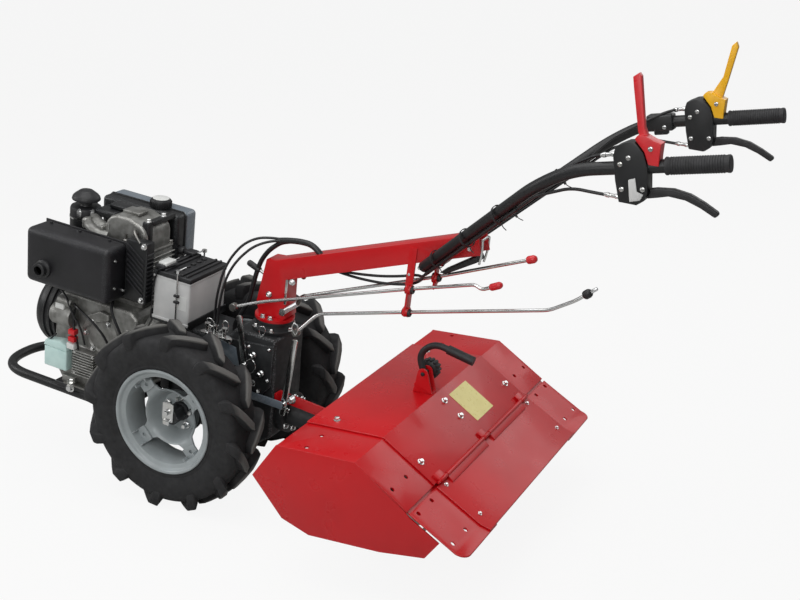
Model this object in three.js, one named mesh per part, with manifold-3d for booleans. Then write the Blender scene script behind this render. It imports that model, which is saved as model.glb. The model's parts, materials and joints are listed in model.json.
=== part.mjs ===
// A walking tractor with a rear tiller: single-cylinder engine ahead of the axle, gearbox and wheels in
// the middle, handlebar column above them and the tiller with its hood behind.
// Millimetres, +Z up, -Y is the direction of travel, +X is the machine's left side.
// The tractor is drawn about its wheel axle and stands nose up; the tiller is drawn level.
import * as THREE from "three";
import { mergeVertices } from "three/addons/utils/BufferGeometryUtils.js";
import Module from "manifold-3d";

const wasm = await Module();
wasm.setup();

// ---- driving dimensions ----
const gap = 0.3; // between pieces that touch
const noseUp = 7.66; // degrees the tractor leans back on its axle
const axleToMiddle = 350; // axle ahead of the middle of the length

const wheel = {
  radius: 256,
  width: 127,
  flangeRadius: 145,
  flangeReach: 54,
  beadRadius: 140,
  track: 442,
  discReach: -36,
  sides: 32,
};
const hub = {
  flangeRadius: 62,
  barrelRadius: 34,
  stubRadius: 18,
  nutRadius: 22,
  nutReach: 14,
  spigotRadius: 26.4,
};
const turning = 0.6; // clearance round a turning or bolted-up shaft
const axleHousing = { radius: 42, reach: 147, boreDepth: 30 };

const gearbox = { halfWidth: 72, front: -150, rear: 215, top: 228, bottom: -95 };
const crankHeight = 90;
const bell = { radius: 95, rear: -150, front: -215 };
const crankcase = { halfWidth: 105, front: -500, bottom: -85, top: 190 };
const cylinder = { halfWidth: 66, front: -385, rear: -229, top: 345 };
const rocker = { halfWidth: 58, front: -373, rear: -233, top: 438 };
const fan = { radius: 110, front: -578, domeFront: -598, domeRadius: 72 };
const mountPlate = { halfWidth: 126, front: -480, rear: -225, thickness: 12 };
const bumper = { tubeRadius: 14, halfWidth: 112, front: -700, cornerRadius: 108 };

const besideCylinder = 8; // from the cylinder's side to the muffler and to the tank
const muffler = { width: 98, front: -553, rear: -270, bottom: 220, top: 379, edge: 16, wall: 3 };
const mufflerInner = cylinder.halfWidth + besideCylinder;
const mufflerOuter = mufflerInner + muffler.width;
const tailPipe = { radius: 15, reach: 24, wall: 3, behindFront: 66, height: 272 };
const filter = {
  radius: 44,
  middle: -485,
  bottom: 300,
  top: 416,
  neckRadius: 17,
  capRadius: 40,
  capBottom: 433,
  capTop: 461,
};
const tank = { width: 96, front: -488, rear: -224, bottom: 296, top: 430, edge: 14, wall: 3 };
const tankInner = cylinder.halfWidth + besideCylinder;
const tankOuter = tankInner + tank.width;
const shroudWidth = 34; // black plate beside the cylinder
const tankCap = { radius: 30, fillerRadius: 18, middle: -309, fromEdge: 36, height: 26 };
const battery = { halfWidth: 87, front: -179, rear: -61, bottom: 190, bodyTop: 318, lidTop: 338 };

const swivel = { middle: 156, baseRadius: 58, baseTop: 262, plateRadius: 54, plateSheet: 8 };
const column = { halfWidth: 28, wall: 4 };
const pinClearance = 0.5; // round a hinge pin
const hinge = { y: 620, z: 572, pinRadius: 8 };
const bar = { radius: 14, sides: 12, gripHalfSpacing: 286 };
const grip = { thickness: 3.5, length: 125, sides: 16 };
const leverHousing = { halfWidth: 20 };
const handLever = { halfWidth: 8 };
const thumbLever = { halfWidth: 7, baseHalfWidth: 16 };

const beam = { frontY: 198, frontZ: 388, rearY: 576, rearZ: 541, endY: 722, endZ: 598 };
const cable = { radius: 3.5, hoseRadius: 6.5, sleeveRadius: 8, bundleRadius: 4.5 };
const rod = { radius: 4.5, side: 42, clearance: 0.5 };
const hanger = { sheet: 5, front: 536, rear: 556, outer: 54, innerY: 600, width: 20, eyeRadius: 13 };

const hood = {
  mainHalfWidth: 297.5,
  halfWidth: 440,
  sheet: 4,
  frontY: 457.5,
  topZ: 104,
  foldY: 667,
  seamY: 801,
  seamZ: 9.8,
};
const flapBend = { y: 920.2, z: -66.4 };
const flapEnd = { y: 944.5, z: -73.5 };
const rotor = {
  y: 640,
  z: -75,
  tipRadius: 140,
  shaftRadius: 16,
  discRadius: 44,
  tineWidth: 26,
  tineSheet: 7,
};
const rotorDiscs = [64, 134, 204, 274];
const gearCase = {
  halfWidth: 40,
  radius: 62,
  neckRadius: 36,
  bracketHalfWidth: 38,
  bracketFront: 500,
  bracketRear: 560,
};
const hitchArm = { front: 222.5, frontTop: 46, rearTop: -16, height: 30, sheet: 6, footReach: 30 };
const depthBracket = { halfWidth: 15, sheet: 4, pinY: 636, pinZ: 156, headRadius: 15 };
const depthPinRadius = 5;
const depthHandle = { radius: 8.5, gripRadius: 12 };
const depthHandlePath = [[0, 634, 146], [0, 618, 205], [0, 662, 240], [0, 770, 208.6]];
const flapPin = {
  radius: 3,
  lift: 6.5,
  knuckle: 5.5,
  fixed: [[-281, -246], [-16, 16], [246, 281]],
  moving: [[-243, -19], [19, 243]],
};
const flapCornerRadius = 25;
const spur = { halfWidth: 22, frontY: 787, rearTopY: 796, sheet: 12, footFront: 742 };

// ---- finishes ----
function finish(color, roughness, metalness) {
  return new THREE.MeshStandardMaterial({ color, roughness, metalness });
}
const redPaint = finish(0xc4161c, 0.3, 0);
const blackPaint = finish(0x17181a, 0.45, 0);
const castBlack = finish(0x222427, 0.6, 0.2);
const castAluminium = finish(0xa2a5a3, 0.5, 0.8);
const greyPaint = finish(0x9aa1a3, 0.45, 0);
const tyreRubber = finish(0x232426, 0.9, 0);
const gripRubber = finish(0x2c2d30, 0.8, 0);
const chrome = finish(0xc9ccce, 0.2, 1);
const steel = finish(0x8d9092, 0.4, 0.9);
const blackPlastic = finish(0x1d1e20, 0.5, 0);
const batteryCase = finish(0xd7dad8, 0.5, 0);
const tankPaint = finish(0x59636c, 0.4, 0);
const cableRubber = finish(0x151618, 0.6, 0);
const mintPlastic = finish(0xbfdcd8, 0.4, 0);
const redPlastic = finish(0xd42a2f, 0.4, 0);
const yellowPlastic = finish(0xf0b41c, 0.4, 0);

// ---- shape helpers ----
function points(list) {
  return list.map(([x, y]) => new THREE.Vector2(x, y));
}
function ring(radius, sides, turn = 0) {
  return Array.from({ length: sides }, (_, i) => {
    const angle = ((i + 0.5) / sides) * Math.PI * 2 + turn;
    return new THREE.Vector2(radius * Math.cos(angle), radius * Math.sin(angle));
  });
}
function extrude(outline, depth) {
  return new THREE.ExtrudeGeometry(new THREE.Shape(outline), { depth, bevelEnabled: false });
}
// An outline given as [y, z], drawn out along X.
function alongX(list, from, to) {
  const turn = new THREE.Matrix4().makeBasis(
    new THREE.Vector3(0, 1, 0),
    new THREE.Vector3(0, 0, 1),
    new THREE.Vector3(1, 0, 0),
  );
  return extrude(points(list), to - from).applyMatrix4(turn).translate(from, 0, 0);
}
// An outline given as [x, z], drawn out along Y.
function alongY(list, from, to) {
  return extrude(points(list), to - from).rotateX(Math.PI / 2).translate(0, to, 0);
}
// An outline given as [x, y], drawn out along Z.
function alongZ(list, from, to) {
  return extrude(points(list), to - from).translate(0, 0, from);
}
function block(x0, x1, y0, y1, z0, z1) {
  return new THREE.BoxGeometry(x1 - x0, y1 - y0, z1 - z0).translate(
    (x0 + x1) / 2,
    (y0 + y1) / 2,
    (z0 + z1) / 2,
  );
}
// A rectangle with its corners cut off by `edge`.
function bevelled(a0, a1, b0, b1, edge) {
  return [
    [a0 + edge, b0], [a1 - edge, b0], [a1, b0 + edge], [a1, b1 - edge],
    [a1 - edge, b1], [a0 + edge, b1], [a0, b1 - edge], [a0, b0 + edge],
  ];
}
function area(list) {
  return list.reduce((sum, [r, a], i) => {
    const [r2, a2] = list[(i + 1) % list.length];
    return sum + r * a2 - r2 * a;
  }, 0);
}
// A profile given as [radius, along], turned about X, Y or Z.
function spin(profile, axis, sides) {
  const outward = area(profile) > 0 ? profile : [...profile].reverse();
  const turned = new THREE.LatheGeometry(points(outward), sides);
  if (axis === "x") return turned.rotateZ(-Math.PI / 2);
  if (axis === "z") return turned.rotateX(Math.PI / 2);
  return turned;
}
function spinRing(profile, axis, sides) {
  const outward = area(profile) > 0 ? profile : [...profile].reverse();
  return spin([...outward, outward[0]], axis, sides);
}
function drum(radius, from, to, axis, sides) {
  return spin([[0, from], [radius, from], [radius, to], [0, to]], axis, sides);
}

// A route of straight runs and arcs, stepped only where it turns.
class Route extends THREE.Curve {
  constructor(stations) {
    super();
    this.stations = stations;
  }
  getPointAt(u, target = new THREE.Vector3()) {
    const last = this.stations.length - 1;
    return target.copy(this.stations[Math.round(u * last)]);
  }
  getPoint(t, target) {
    return this.getPointAt(t, target);
  }
  getTangentAt(u, target = new THREE.Vector3()) {
    const last = this.stations.length - 1;
    const i = Math.round(u * last);
    const before = this.stations[Math.max(i - 1, 0)];
    const after = this.stations[Math.min(i + 1, last)];
    const here = this.stations[i];
    target.set(0, 0, 0);
    if (i > 0) target.add(here.clone().sub(before).normalize());
    if (i < last) target.add(after.clone().sub(here).normalize());
    return target.normalize();
  }
}
// Straight runs between corners, each corner rounded by `radius` in `steps` steps.
function rounded(corners, radius, steps) {
  const list = corners.map((c) => new THREE.Vector3(...c));
  const stations = [list[0]];
  for (let i = 1; i < list.length - 1; i += 1) {
    const back = list[i - 1].clone().sub(list[i]);
    const ahead = list[i + 1].clone().sub(list[i]);
    const reach = Math.min(radius, back.length() * 0.48, ahead.length() * 0.48);
    const start = list[i].clone().add(back.setLength(reach));
    const end = list[i].clone().add(ahead.setLength(reach));
    const curve = new THREE.QuadraticBezierCurve3(start, list[i], end);
    stations.push(...curve.getPoints(steps));
  }
  stations.push(list[list.length - 1]);
  return stations;
}
function sweep(outline, stations) {
  return new THREE.ExtrudeGeometry(new THREE.Shape(outline), {
    steps: stations.length - 1,
    bevelEnabled: false,
    extrudePath: new Route(stations),
  });
}
function tube(corners, radius, sides = 10, bendRadius = 30, bendSteps = 4) {
  return sweep(ring(radius, sides), rounded(corners, bendRadius, bendSteps));
}

// ---- joining and cutting ----
function toSolid(shape) {
  if (!shape.isBufferGeometry) return shape;
  const bare = shape.index ? shape.toNonIndexed() : shape.clone();
  bare.deleteAttribute("normal");
  bare.deleteAttribute("uv");
  const merged = mergeVertices(bare, 1e-3);
  const solid = new wasm.Manifold(
    new wasm.Mesh({
      numProp: 3,
      vertProperties: new Float32Array(merged.attributes.position.array),
      triVerts: new Uint32Array(merged.index.array),
    }),
  );
  return solid;
}
function toGeometry(shape) {
  if (shape.isBufferGeometry) return shape;
  const mesh = shape.getMesh();
  const geometry = new THREE.BufferGeometry();
  geometry.setAttribute("position", new THREE.BufferAttribute(mesh.vertProperties, 3));
  geometry.setIndex(new THREE.BufferAttribute(mesh.triVerts, 1));
  return geometry;
}
function join(first, ...others) {
  return others.reduce((sum, other) => sum.add(toSolid(other)), toSolid(first));
}
function cut(first, ...tools) {
  return tools.reduce((rest, tool) => rest.subtract(toSolid(tool)), toSolid(first));
}

// ---- the scene ----
const tractor = new THREE.Group();
tractor.position.set(0, -axleToMiddle, wheel.radius);
tractor.rotation.x = THREE.MathUtils.degToRad(-noseUp);
const tiller = new THREE.Group();
tiller.position.set(0, -axleToMiddle, wheel.radius);
const walkingTractor = new THREE.Group();
walkingTractor.add(tractor, tiller);

function add(group, name, shape, material) {
  const mesh = new THREE.Mesh(toGeometry(shape), material);
  mesh.name = name;
  group.add(mesh);
  return mesh;
}
// The left piece as drawn, and its mirror image on the right.
function addPair(group, name, shape, material) {
  add(group, `${name}_left`, shape, material);
  add(group, `${name}_right`, shape, material).scale.x = -1;
}

// ---- wheels ----
function tyreShape() {
  const half = wheel.width / 2;
  const bead = wheel.beadRadius;
  const outline = [
    [bead, -half + 15.5], [bead + 7, -half + 15], [bead + 50, -half],
    [wheel.radius - 22, -half + 3], [wheel.radius, -half + 20],
  ];
  const mirrored = outline.map(([r, x]) => [r, -x]).reverse();
  return spinRing([...outline, ...mirrored], "x", wheel.sides).translate(wheel.track / 2, 0, 0);
}
function rimShape() {
  const lip = wheel.flangeReach;
  const outer = [
    [wheel.flangeRadius, lip], [wheel.flangeRadius, lip - 4.7], [wheel.beadRadius - 0.4, lip - 5.3],
    [124, 24],
  ];
  const inner = [[119, 24], [133, lip - 8], [138, lip]];
  const far = (list) => list.map(([r, x]) => [r, -x]).reverse();
  const barrel = spinRing([...outer, ...far(outer), ...far(inner), ...inner], "x", wheel.sides);
  return toGeometry(join(barrel, ...discShapes())).translate(wheel.track / 2, 0, 0);
}
// The dished wheel disc, its four arms and the lugs of the rim that they are welded to.
function discShapes() {
  const face = wheel.discReach;
  const bore = hub.spigotRadius + turning;
  const dish = spinRing(
    [[bore, face], [56, face], [76, 10.7], [76, 15.7], [71, 15.7], [52, face + 5], [bore, face + 5]],
    "x",
    24,
  );
  const quarters = [0, 1, 2, 3].map((i) => Math.PI / 4 + (i * Math.PI) / 2);
  const arms = quarters.map((turn) => block(10.7, 15.7, -24, 24, 70, 116).rotateX(turn));
  const lugs = quarters.map((turn) => block(15, 21, -22, 22, 92, 122).rotateX(turn));
  return [dish, ...arms, ...lugs];
}
function hubShape() {
  const face = wheel.track / 2 + wheel.discReach;
  const seat = axleHousing.reach;
  return spin(
    [
      [0, seat - axleHousing.boreDepth + 6], [hub.stubRadius, seat - axleHousing.boreDepth + 6],
      [hub.stubRadius, seat + 5], [hub.barrelRadius, seat + 5], [hub.barrelRadius, face - 14],
      [hub.flangeRadius, face - 14], [hub.flangeRadius, face - gap], [hub.spigotRadius, face - gap],
      [hub.spigotRadius, face + 9], [hub.nutRadius, face + 12],
      [hub.nutRadius, wheel.track / 2 + hub.nutReach],
      [0, wheel.track / 2 + hub.nutReach],
    ],
    "x",
    16,
  );
}
function axleHousingShape() {
  const from = gearbox.halfWidth + gap;
  const { radius, reach, boreDepth } = axleHousing;
  const bore = hub.stubRadius + turning;
  return spin(
    [
      [0, from], [radius + 14, from], [radius + 14, from + 10], [radius, from + 14], [radius, reach],
      [bore, reach], [bore, reach - boreDepth], [0, reach - boreDepth],
    ],
    "x",
    16,
  );
}
addPair(tractor, "tyre", tyreShape(), tyreRubber);
addPair(tractor, "rim", rimShape(), greyPaint);
addPair(tractor, "wheel_hub", hubShape(), castBlack);
addPair(tractor, "axle_housing", axleHousingShape(), castBlack);

// ---- gearbox ----
function gearboxShape() {
  const { halfWidth, front, rear, top, bottom } = gearbox;
  return alongX(
    [
      [front, -20], [front + 40, bottom + 35], [front + 90, bottom], [rear - 45, bottom],
      [rear, bottom + 35], [rear, 60], [rear - 10, top], [80, top], [50, 185], [front, 185],
    ],
    -halfWidth,
    halfWidth,
  );
}
add(tractor, "gearbox_housing", gearboxShape(), castBlack);
add(
  tractor,
  "clutch_housing",
  drum(bell.radius, bell.front + gap, bell.rear - gap, "y", 28).translate(0, 0, crankHeight),
  castAluminium,
);
// ---- engine ----
function crankcaseShape() {
  const { front, bottom, top, halfWidth } = crankcase;
  const body = alongX(
    [
      [front, -40], [front + 30, bottom], [bell.front - 25, bottom], [bell.front, -50],
      [bell.front, 170], [bell.front - 25, top], [front + 30, top], [front, 160],
    ],
    -halfWidth,
    halfWidth,
  );
  const oilFilterCover = block(halfWidth - 2, halfWidth + 25, front + 92, front + 160, -40, 36);
  return join(body, oilFilterCover);
}
add(tractor, "crankcase", crankcaseShape(), castAluminium);
function cylinderShape() {
  const foot = crankcase.top + gap;
  const barrel = block(
    -cylinder.halfWidth, cylinder.halfWidth, cylinder.front, cylinder.rear, foot, cylinder.top,
  );
  const filterSeat = block(
    -30, 30, filter.middle - 12, cylinder.front + 4, foot, filter.bottom - gap,
  );
  return join(barrel, filterSeat);
}
add(tractor, "cylinder_block", cylinderShape(), castAluminium);
add(
  tractor,
  "rocker_cover",
  alongX(
    [
      [rocker.front, cylinder.top + gap], [rocker.rear, cylinder.top + gap],
      [rocker.rear, rocker.top - 18], [rocker.rear - 18, rocker.top],
      [rocker.front + 18, rocker.top], [rocker.front, rocker.top - 18],
    ],
    -rocker.halfWidth,
    rocker.halfWidth,
  ),
  castAluminium,
);
add(
  tractor,
  "fan_housing",
  spin(
    [
      [0, crankcase.front - gap], [fan.radius, crankcase.front - gap], [fan.radius, fan.front + 14],
      [fan.radius - 14, fan.front], [fan.domeRadius, fan.front], [fan.domeRadius - 12, fan.domeFront],
      [0, fan.domeFront],
    ],
    "y",
    32,
  ).translate(0, 0, crankHeight),
  castBlack,
);
// The plate that the engine is bolted to, welded on the tube of the front bumper.
function engineFrameShape() {
  const { front, rear, thickness } = mountPlate;
  const top = crankcase.bottom - gap;
  const plate = block(-mountPlate.halfWidth, mountPlate.halfWidth, front, rear, top - thickness, top);
  const { halfWidth, tubeRadius, cornerRadius } = bumper;
  const z = top - thickness - tubeRadius + 2;
  const loop = [
    [halfWidth, rear + 3, z], [halfWidth, bumper.front, z], [-halfWidth, bumper.front, z],
    [-halfWidth, rear + 3, z],
  ];
  return join(plate, tube(loop, tubeRadius, 12, cornerRadius, 6));
}
add(tractor, "engine_frame", engineFrameShape(), blackPaint);
function mufflerShape() {
  const box = alongX(
    bevelled(muffler.front, muffler.rear, muffler.bottom, muffler.top, muffler.edge),
    mufflerInner,
    mufflerOuter,
  );
  const { radius, reach, wall, behindFront, height } = tailPipe;
  const end = mufflerOuter + reach;
  const place = [0, muffler.front + behindFront, height];
  const pipe = drum(radius, mufflerOuter - 4, end, "x", 14).translate(...place);
  const bore = drum(radius - wall, mufflerOuter - 20, end + 1, "x", 14).translate(...place);
  const inside = alongX(
    bevelled(
      muffler.front + muffler.wall,
      muffler.rear - muffler.wall,
      muffler.bottom + muffler.wall,
      muffler.top - muffler.wall,
      muffler.edge - 1,
    ),
    mufflerInner + muffler.wall,
    mufflerOuter - muffler.wall,
  );
  const flange = block(cylinder.halfWidth + gap, mufflerInner + 1, -370, -320, 290, 335);
  return cut(join(box, pipe, flange), inside, bore);
}
add(tractor, "muffler", mufflerShape(), blackPaint);
add(
  tractor,
  "cylinder_shroud",
  block(
    cylinder.halfWidth + gap, cylinder.halfWidth + shroudWidth, muffler.rear + 3, -196, 225, 400,
  ),
  blackPaint,
);
add(
  tractor,
  "air_filter",
  spin(
    [
      [0, filter.bottom], [filter.radius - 8, filter.bottom], [filter.radius, filter.bottom + 10],
      [filter.radius, filter.top - 8], [filter.radius - 8, filter.top],
      [filter.neckRadius, filter.top + 2], [filter.neckRadius, filter.capBottom - 1],
      [filter.capRadius - 2, filter.capBottom], [filter.capRadius, filter.capBottom + 4],
      [filter.capRadius - 3, filter.capBottom + 12], [19, filter.capTop], [0, filter.capTop],
    ],
    "z",
    28,
  ).translate(0, filter.middle, 0),
  blackPlastic,
);
function tankShape() {
  const body = alongY(
    bevelled(-tankOuter, -tankInner, tank.bottom, tank.top, tank.edge),
    tank.front,
    tank.rear,
  );
  const inside = alongY(
    bevelled(
      -tankOuter + tank.wall, -tankInner - tank.wall, tank.bottom + tank.wall, tank.top - tank.wall,
      tank.edge - 1,
    ),
    tank.front + tank.wall,
    tank.rear - tank.wall,
  );
  const filler = drum(tankCap.fillerRadius, tank.top - tank.wall - 1, tank.top + 1, "z", 24);
  filler.translate(-tankInner - tankCap.fromEdge, tankCap.middle, 0);
  const bracket = block(
    -tankInner - 30, -tankInner - 6, -350, -250, crankcase.top + gap, tank.bottom + 1,
  );
  return join(cut(body, inside, filler), bracket);
}
add(tractor, "fuel_tank", tankShape(), tankPaint);
add(
  tractor,
  "fuel_cap",
  drum(tankCap.radius, tank.top + gap, tank.top + tankCap.height, "z", 24).translate(
    -tankInner - tankCap.fromEdge,
    tankCap.middle,
    0,
  ),
  blackPlastic,
);
add(
  tractor,
  "regulator_box",
  block(crankcase.halfWidth + gap, 134, -513, -433, -42, 46),
  mintPlastic,
);
add(
  tractor,
  "battery_tray",
  block(
    -battery.halfWidth - 4, battery.halfWidth + 4, battery.front - 4, battery.rear + 4,
    185 + gap, battery.bottom - gap,
  ),
  blackPaint,
);
add(
  tractor,
  "battery",
  block(-battery.halfWidth, battery.halfWidth, battery.front, battery.rear, battery.bottom, battery.bodyTop),
  batteryCase,
);
add(
  tractor,
  "battery_lid",
  block(
    -battery.halfWidth - 2, battery.halfWidth + 2, battery.front - 2, battery.rear + 2,
    battery.bodyTop + gap, battery.lidTop,
  ),
  blackPlastic,
);

// ---- handlebar column ----
add(
  tractor,
  "column_base",
  drum(swivel.baseRadius, gearbox.top + gap, swivel.baseTop, "z", 32).translate(0, swivel.middle, 0),
  castBlack,
);
// Height of the beam's lower edge.
function underBeam(y) {
  const from = y < beam.rearY ? [beam.frontY, beam.frontZ] : [beam.rearY, beam.rearZ];
  const to = y < beam.rearY ? [beam.rearY, beam.rearZ] : [beam.endY, beam.endZ];
  return from[1] + ((y - from[0]) * (to[1] - from[1])) / (to[0] - from[0]);
}
// Where the control rods run, and the sleeve of the cables that goes into the beam.
const sleevePath = [
  [10, 150, 480], [10, 178, 488], [10, 215, 495], [10, 247, 496], [10, 268, 487], [10, 286, 470],
];
const rodLow = [
  [60, 258, 266], [rod.side, 307, 327], [rod.side, 565, 408], [rod.side, 916, 516],
  [rod.side, 974, 557], [rod.side, 993, 575],
];
const rodHigh = [
  [80, 76, 292], [60, 150, 322], [rod.side, 553, 467], [rod.side, 723, 527],
  [rod.side, 742, 519], [rod.side, 762, 530],
];
const rodInner = [[0, 241, 346], [0, 618, 508], [0, 829, 607]];
function rodEyes() {
  const clear = rod.radius + rod.clearance;
  return [rodLow, rodHigh, rodInner].map((path) => tube(path, clear, 10, 16, 2));
}
// Red strips below the beam that the rods run through, with a collar at each eye.
function hangerShapes() {
  const { sheet, front, rear, outer, width, eyeRadius } = hanger;
  const inner = column.halfWidth - 1;
  const tab = block(inner, inner + sheet, front, rear, 470, 572);
  const plate = block(inner, outer, rear - sheet, rear, 396, 480);
  const eyes = [406, 466].map((z) =>
    drum(eyeRadius, rear - sheet - 5, rear + 4, "y", 16).translate(rod.side, 0, z),
  );
  const y = hanger.innerY;
  const edge = underBeam(y);
  const strip = block(-width / 2, width / 2, y, y + sheet, 470, edge + 2);
  const eye = drum(eyeRadius, y - 4, y + sheet + 4, "y", 16).translate(0, 0, 498);
  const bridge = alongX(
    [[y, edge + 2], [y + 24, underBeam(y + 24) + 2], [y + 24, edge - 8], [y, edge - 8]],
    -inner,
    inner,
  );
  return [tab, plate, ...eyes, strip, eye, bridge];
}
function columnShape() {
  const foot = swivel.baseTop + gap;
  const outside = alongX(
    [
      [124, foot], [188, foot], [204, foot + 16], [200, 309], [beam.frontY, beam.frontZ],
      [beam.rearY, beam.rearZ], [beam.endY, beam.endZ],
      [706, 647], [159, 431], [132, 428], [112, 305],
    ],
    -column.halfWidth,
    column.halfWidth,
  );
  const hollow = alongX(
    [
      [124, 285], [190, 285], [194, 380], [206, 378], [576, 525], [740, 590], [720, 648], [160, 426],
      [139, 422],
    ],
    -column.halfWidth + column.wall,
    column.halfWidth - column.wall,
  );
  const bore = drum(hinge.pinRadius + pinClearance, -60, 60, "x", 16).translate(0, hinge.y, hinge.z);
  const turntable = drum(swivel.plateRadius, foot, foot + swivel.plateSheet, "z", 28);
  turntable.translate(0, swivel.middle, 0);
  const sleeveHole = tube(sleevePath, cable.sleeveRadius + 2 * gap, 10, 30, 2);
  return cut(join(cut(outside, hollow), turntable, ...hangerShapes()), bore, ...rodEyes(), sleeveHole);
}

// ---- handlebar ----
const barPath = [
  [48, 586, 537], [268, 905, 871], [bar.gripHalfSpacing, 985, 930], [bar.gripHalfSpacing, 1292, 1015],
];
function mirroredX(list) {
  return list.map(([x, y, z]) => [-x, y, z]);
}
function handlebarShape() {
  const sides = [barPath, mirroredX(barPath)].map((path) => tube(path, bar.radius, bar.sides, 60, 3));
  const reach = 64;
  const pin = drum(hinge.pinRadius, -reach, reach, "x", 16).translate(0, hinge.y, hinge.z);
  return join(...sides, pin);
}
add(tractor, "handlebar", handlebarShape(), blackPaint);

// A frame on the straight grip: `along` runs to the rear, measured from the grip's front end.
const gripEnd = new THREE.Vector3(...barPath[3]);
const gripWay = gripEnd.clone().sub(new THREE.Vector3(...barPath[2])).normalize();
const gripStart = gripEnd.clone().addScaledVector(gripWay, -grip.length);
const gripTilt = Math.atan2(gripWay.z, gripWay.y);
function onGrip(shape) {
  return toGeometry(shape).rotateX(gripTilt).translate(gripStart.x, gripStart.y, gripStart.z);
}
function gripShape() {
  const end = gripEnd.distanceTo(gripStart);
  const bore = (bar.radius + gap) / Math.cos(Math.PI / grip.sides);
  const outside = bar.radius + grip.thickness;
  return spin(
    [
      [0, end + gap], [bore, end + gap], [bore, end - grip.length], [outside, end - grip.length],
      [outside, end + 4], [0, end + 4],
    ],
    "y",
    grip.sides,
  );
}
addPair(tractor, "grip", onGrip(gripShape()), gripRubber);
function leverHousingShape() {
  const body = alongX(
    [
      [-100, 30], [-100, -22], [-96, -66], [-60, -74], [-44, -66], [-36, -50], [-32, 0], [-38, 30],
      [-54, 54], [-72, 54], [-93, 47],
    ],
    -leverHousing.halfWidth,
    leverHousing.halfWidth,
  );
  return cut(body, drum(bar.radius + 2 * gap, -140, 0, "y", 16));
}
addPair(tractor, "lever_housing", onGrip(leverHousingShape()), blackPaint);
function handLeverShape() {
  return alongX(
    [
      [-35, -44], [-20, -43], [14, -46], [47, -58], [74, -76], [99, -96], [100, -102], [92, -107],
      [64, -86], [36, -70], [3, -61], [-22, -63], [-42 + gap, -64],
      [-35.4, -50.5],
    ],
    -handLever.halfWidth,
    handLever.halfWidth,
  );
}
addPair(tractor, "hand_lever", onGrip(handLeverShape()), blackPlastic);
// A thumb lever: a base hooked over the housing's rear, and a long arm given by its outline.
function thumbLeverShape(outline) {
  const base = [
    [-53, 57], [-37, 32], [-31, 6], [-10, 2], [-8, 18], [-2, 46], [-18, 54], [-36, 66], [-48, 66], [-54, 60],
  ];
  const arm = alongX(outline, -thumbLever.halfWidth, thumbLever.halfWidth);
  const whole = join(alongX(base, -thumbLever.baseHalfWidth, thumbLever.baseHalfWidth), arm);
  return cut(whole, drum(bar.radius + 2 * gap, -140, 0, "y", 16));
}
const redArm = [[-46, 56], [-26, 50], [-35, 80], [-34, 181], [-38, 188], [-51, 181], [-51, 160], [-49, 74]];
const yellowArm = [[-40, 56], [-12, 48], [-9, 56], [5, 92], [32, 165], [29, 178], [18, 170], [-6, 100]];
add(tractor, "red_lever", onGrip(thumbLeverShape(redArm)), redPlastic);
add(tractor, "yellow_lever", onGrip(thumbLeverShape(yellowArm)), yellowPlastic).scale.x = -1;

// ---- control rods ----
add(tractor, "gear_rod_low", tube(rodLow, rod.radius, 8, 16, 2), chrome);
add(tractor, "gear_rod_high", tube(rodHigh, rod.radius, 8, 16, 2), chrome);
add(tractor, "gear_rod_inner", tube(rodInner, rod.radius, 8, 16, 2), chrome);
function knobShape(radius, length) {
  return spin(
    [[0, 0], [radius - 2, 0], [radius, 4], [radius, length - 5], [radius - 4, length], [0, length]],
    "y",
    14,
  );
}
function knobAt(list, radius, length) {
  const end = new THREE.Vector3(...list[list.length - 1]);
  const before = new THREE.Vector3(...list[list.length - 2]);
  const way = end.clone().sub(before).normalize();
  const turn = new THREE.Quaternion().setFromUnitVectors(new THREE.Vector3(0, 1, 0), way);
  const start = end.addScaledVector(way, gap);
  return knobShape(radius, length).applyQuaternion(turn).translate(start.x, start.y, start.z);
}
add(tractor, "rod_knob_low", knobAt(rodLow, 11, 22), blackPlastic);
add(tractor, "rod_knob_high", knobAt(rodHigh, 9, 34), redPlastic);
add(tractor, "rod_knob_inner", knobAt(rodInner, 10, 26), redPlastic);
add(tractor, "handlebar_column", columnShape(), redPaint);

// ---- control cables ----
// Two cables and a hose that rise from the gearbox and go into the beam in one sleeve.
const frontCable = [
  [68, 10, 185 + gap], [68, 10, 247], [70, 13, 301], [66, 24, 370], [56, 40, 417],
  [42, 66, 457], [28, 100, 480], [14, 140, 486], [10, 178, 488],
];
const rearCable = [
  [74, 24, 185 + gap], [74, 24, 266], [72, 30, 325], [66, 42, 376], [56, 62, 417],
  [40, 95, 457], [22, 132, 477], [10, 178, 487],
];
const hosePath = [
  [0, 34, 185 + gap], [0, 34, 205], [0, 52, 240], [0, 74, 289], [0, 81, 335],
  [0, 90, 378], [2, 102, 412], [5, 124, 446], [10, 160, 478], [10, 190, 489],
];
function cableLoopShape() {
  return join(
    tube(sleevePath, cable.sleeveRadius, 10, 30, 2),
    tube(frontCable, cable.radius, 8, 60, 2),
    tube(rearCable, cable.radius, 8, 60, 2),
    tube(hosePath, cable.hoseRadius, 10, 40, 2),
  );
}
add(tractor, "cable_loop", cableLoopShape(), cableRubber);
// Two cables that sag from the beam to the foot of the left handlebar tube.
const barFoot = new THREE.Vector3(...barPath[0]);
const barWay = new THREE.Vector3(...barPath[1]).sub(barFoot).normalize();
const underWay = new THREE.Vector3(0, 0, -1).addScaledVector(barWay, barWay.z).normalize();
const innerWay = new THREE.Vector3(-1, 0, 0).addScaledVector(barWay, barWay.x).normalize();
const besideBar = bar.radius + cable.bundleRadius + 3 * gap;
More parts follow.
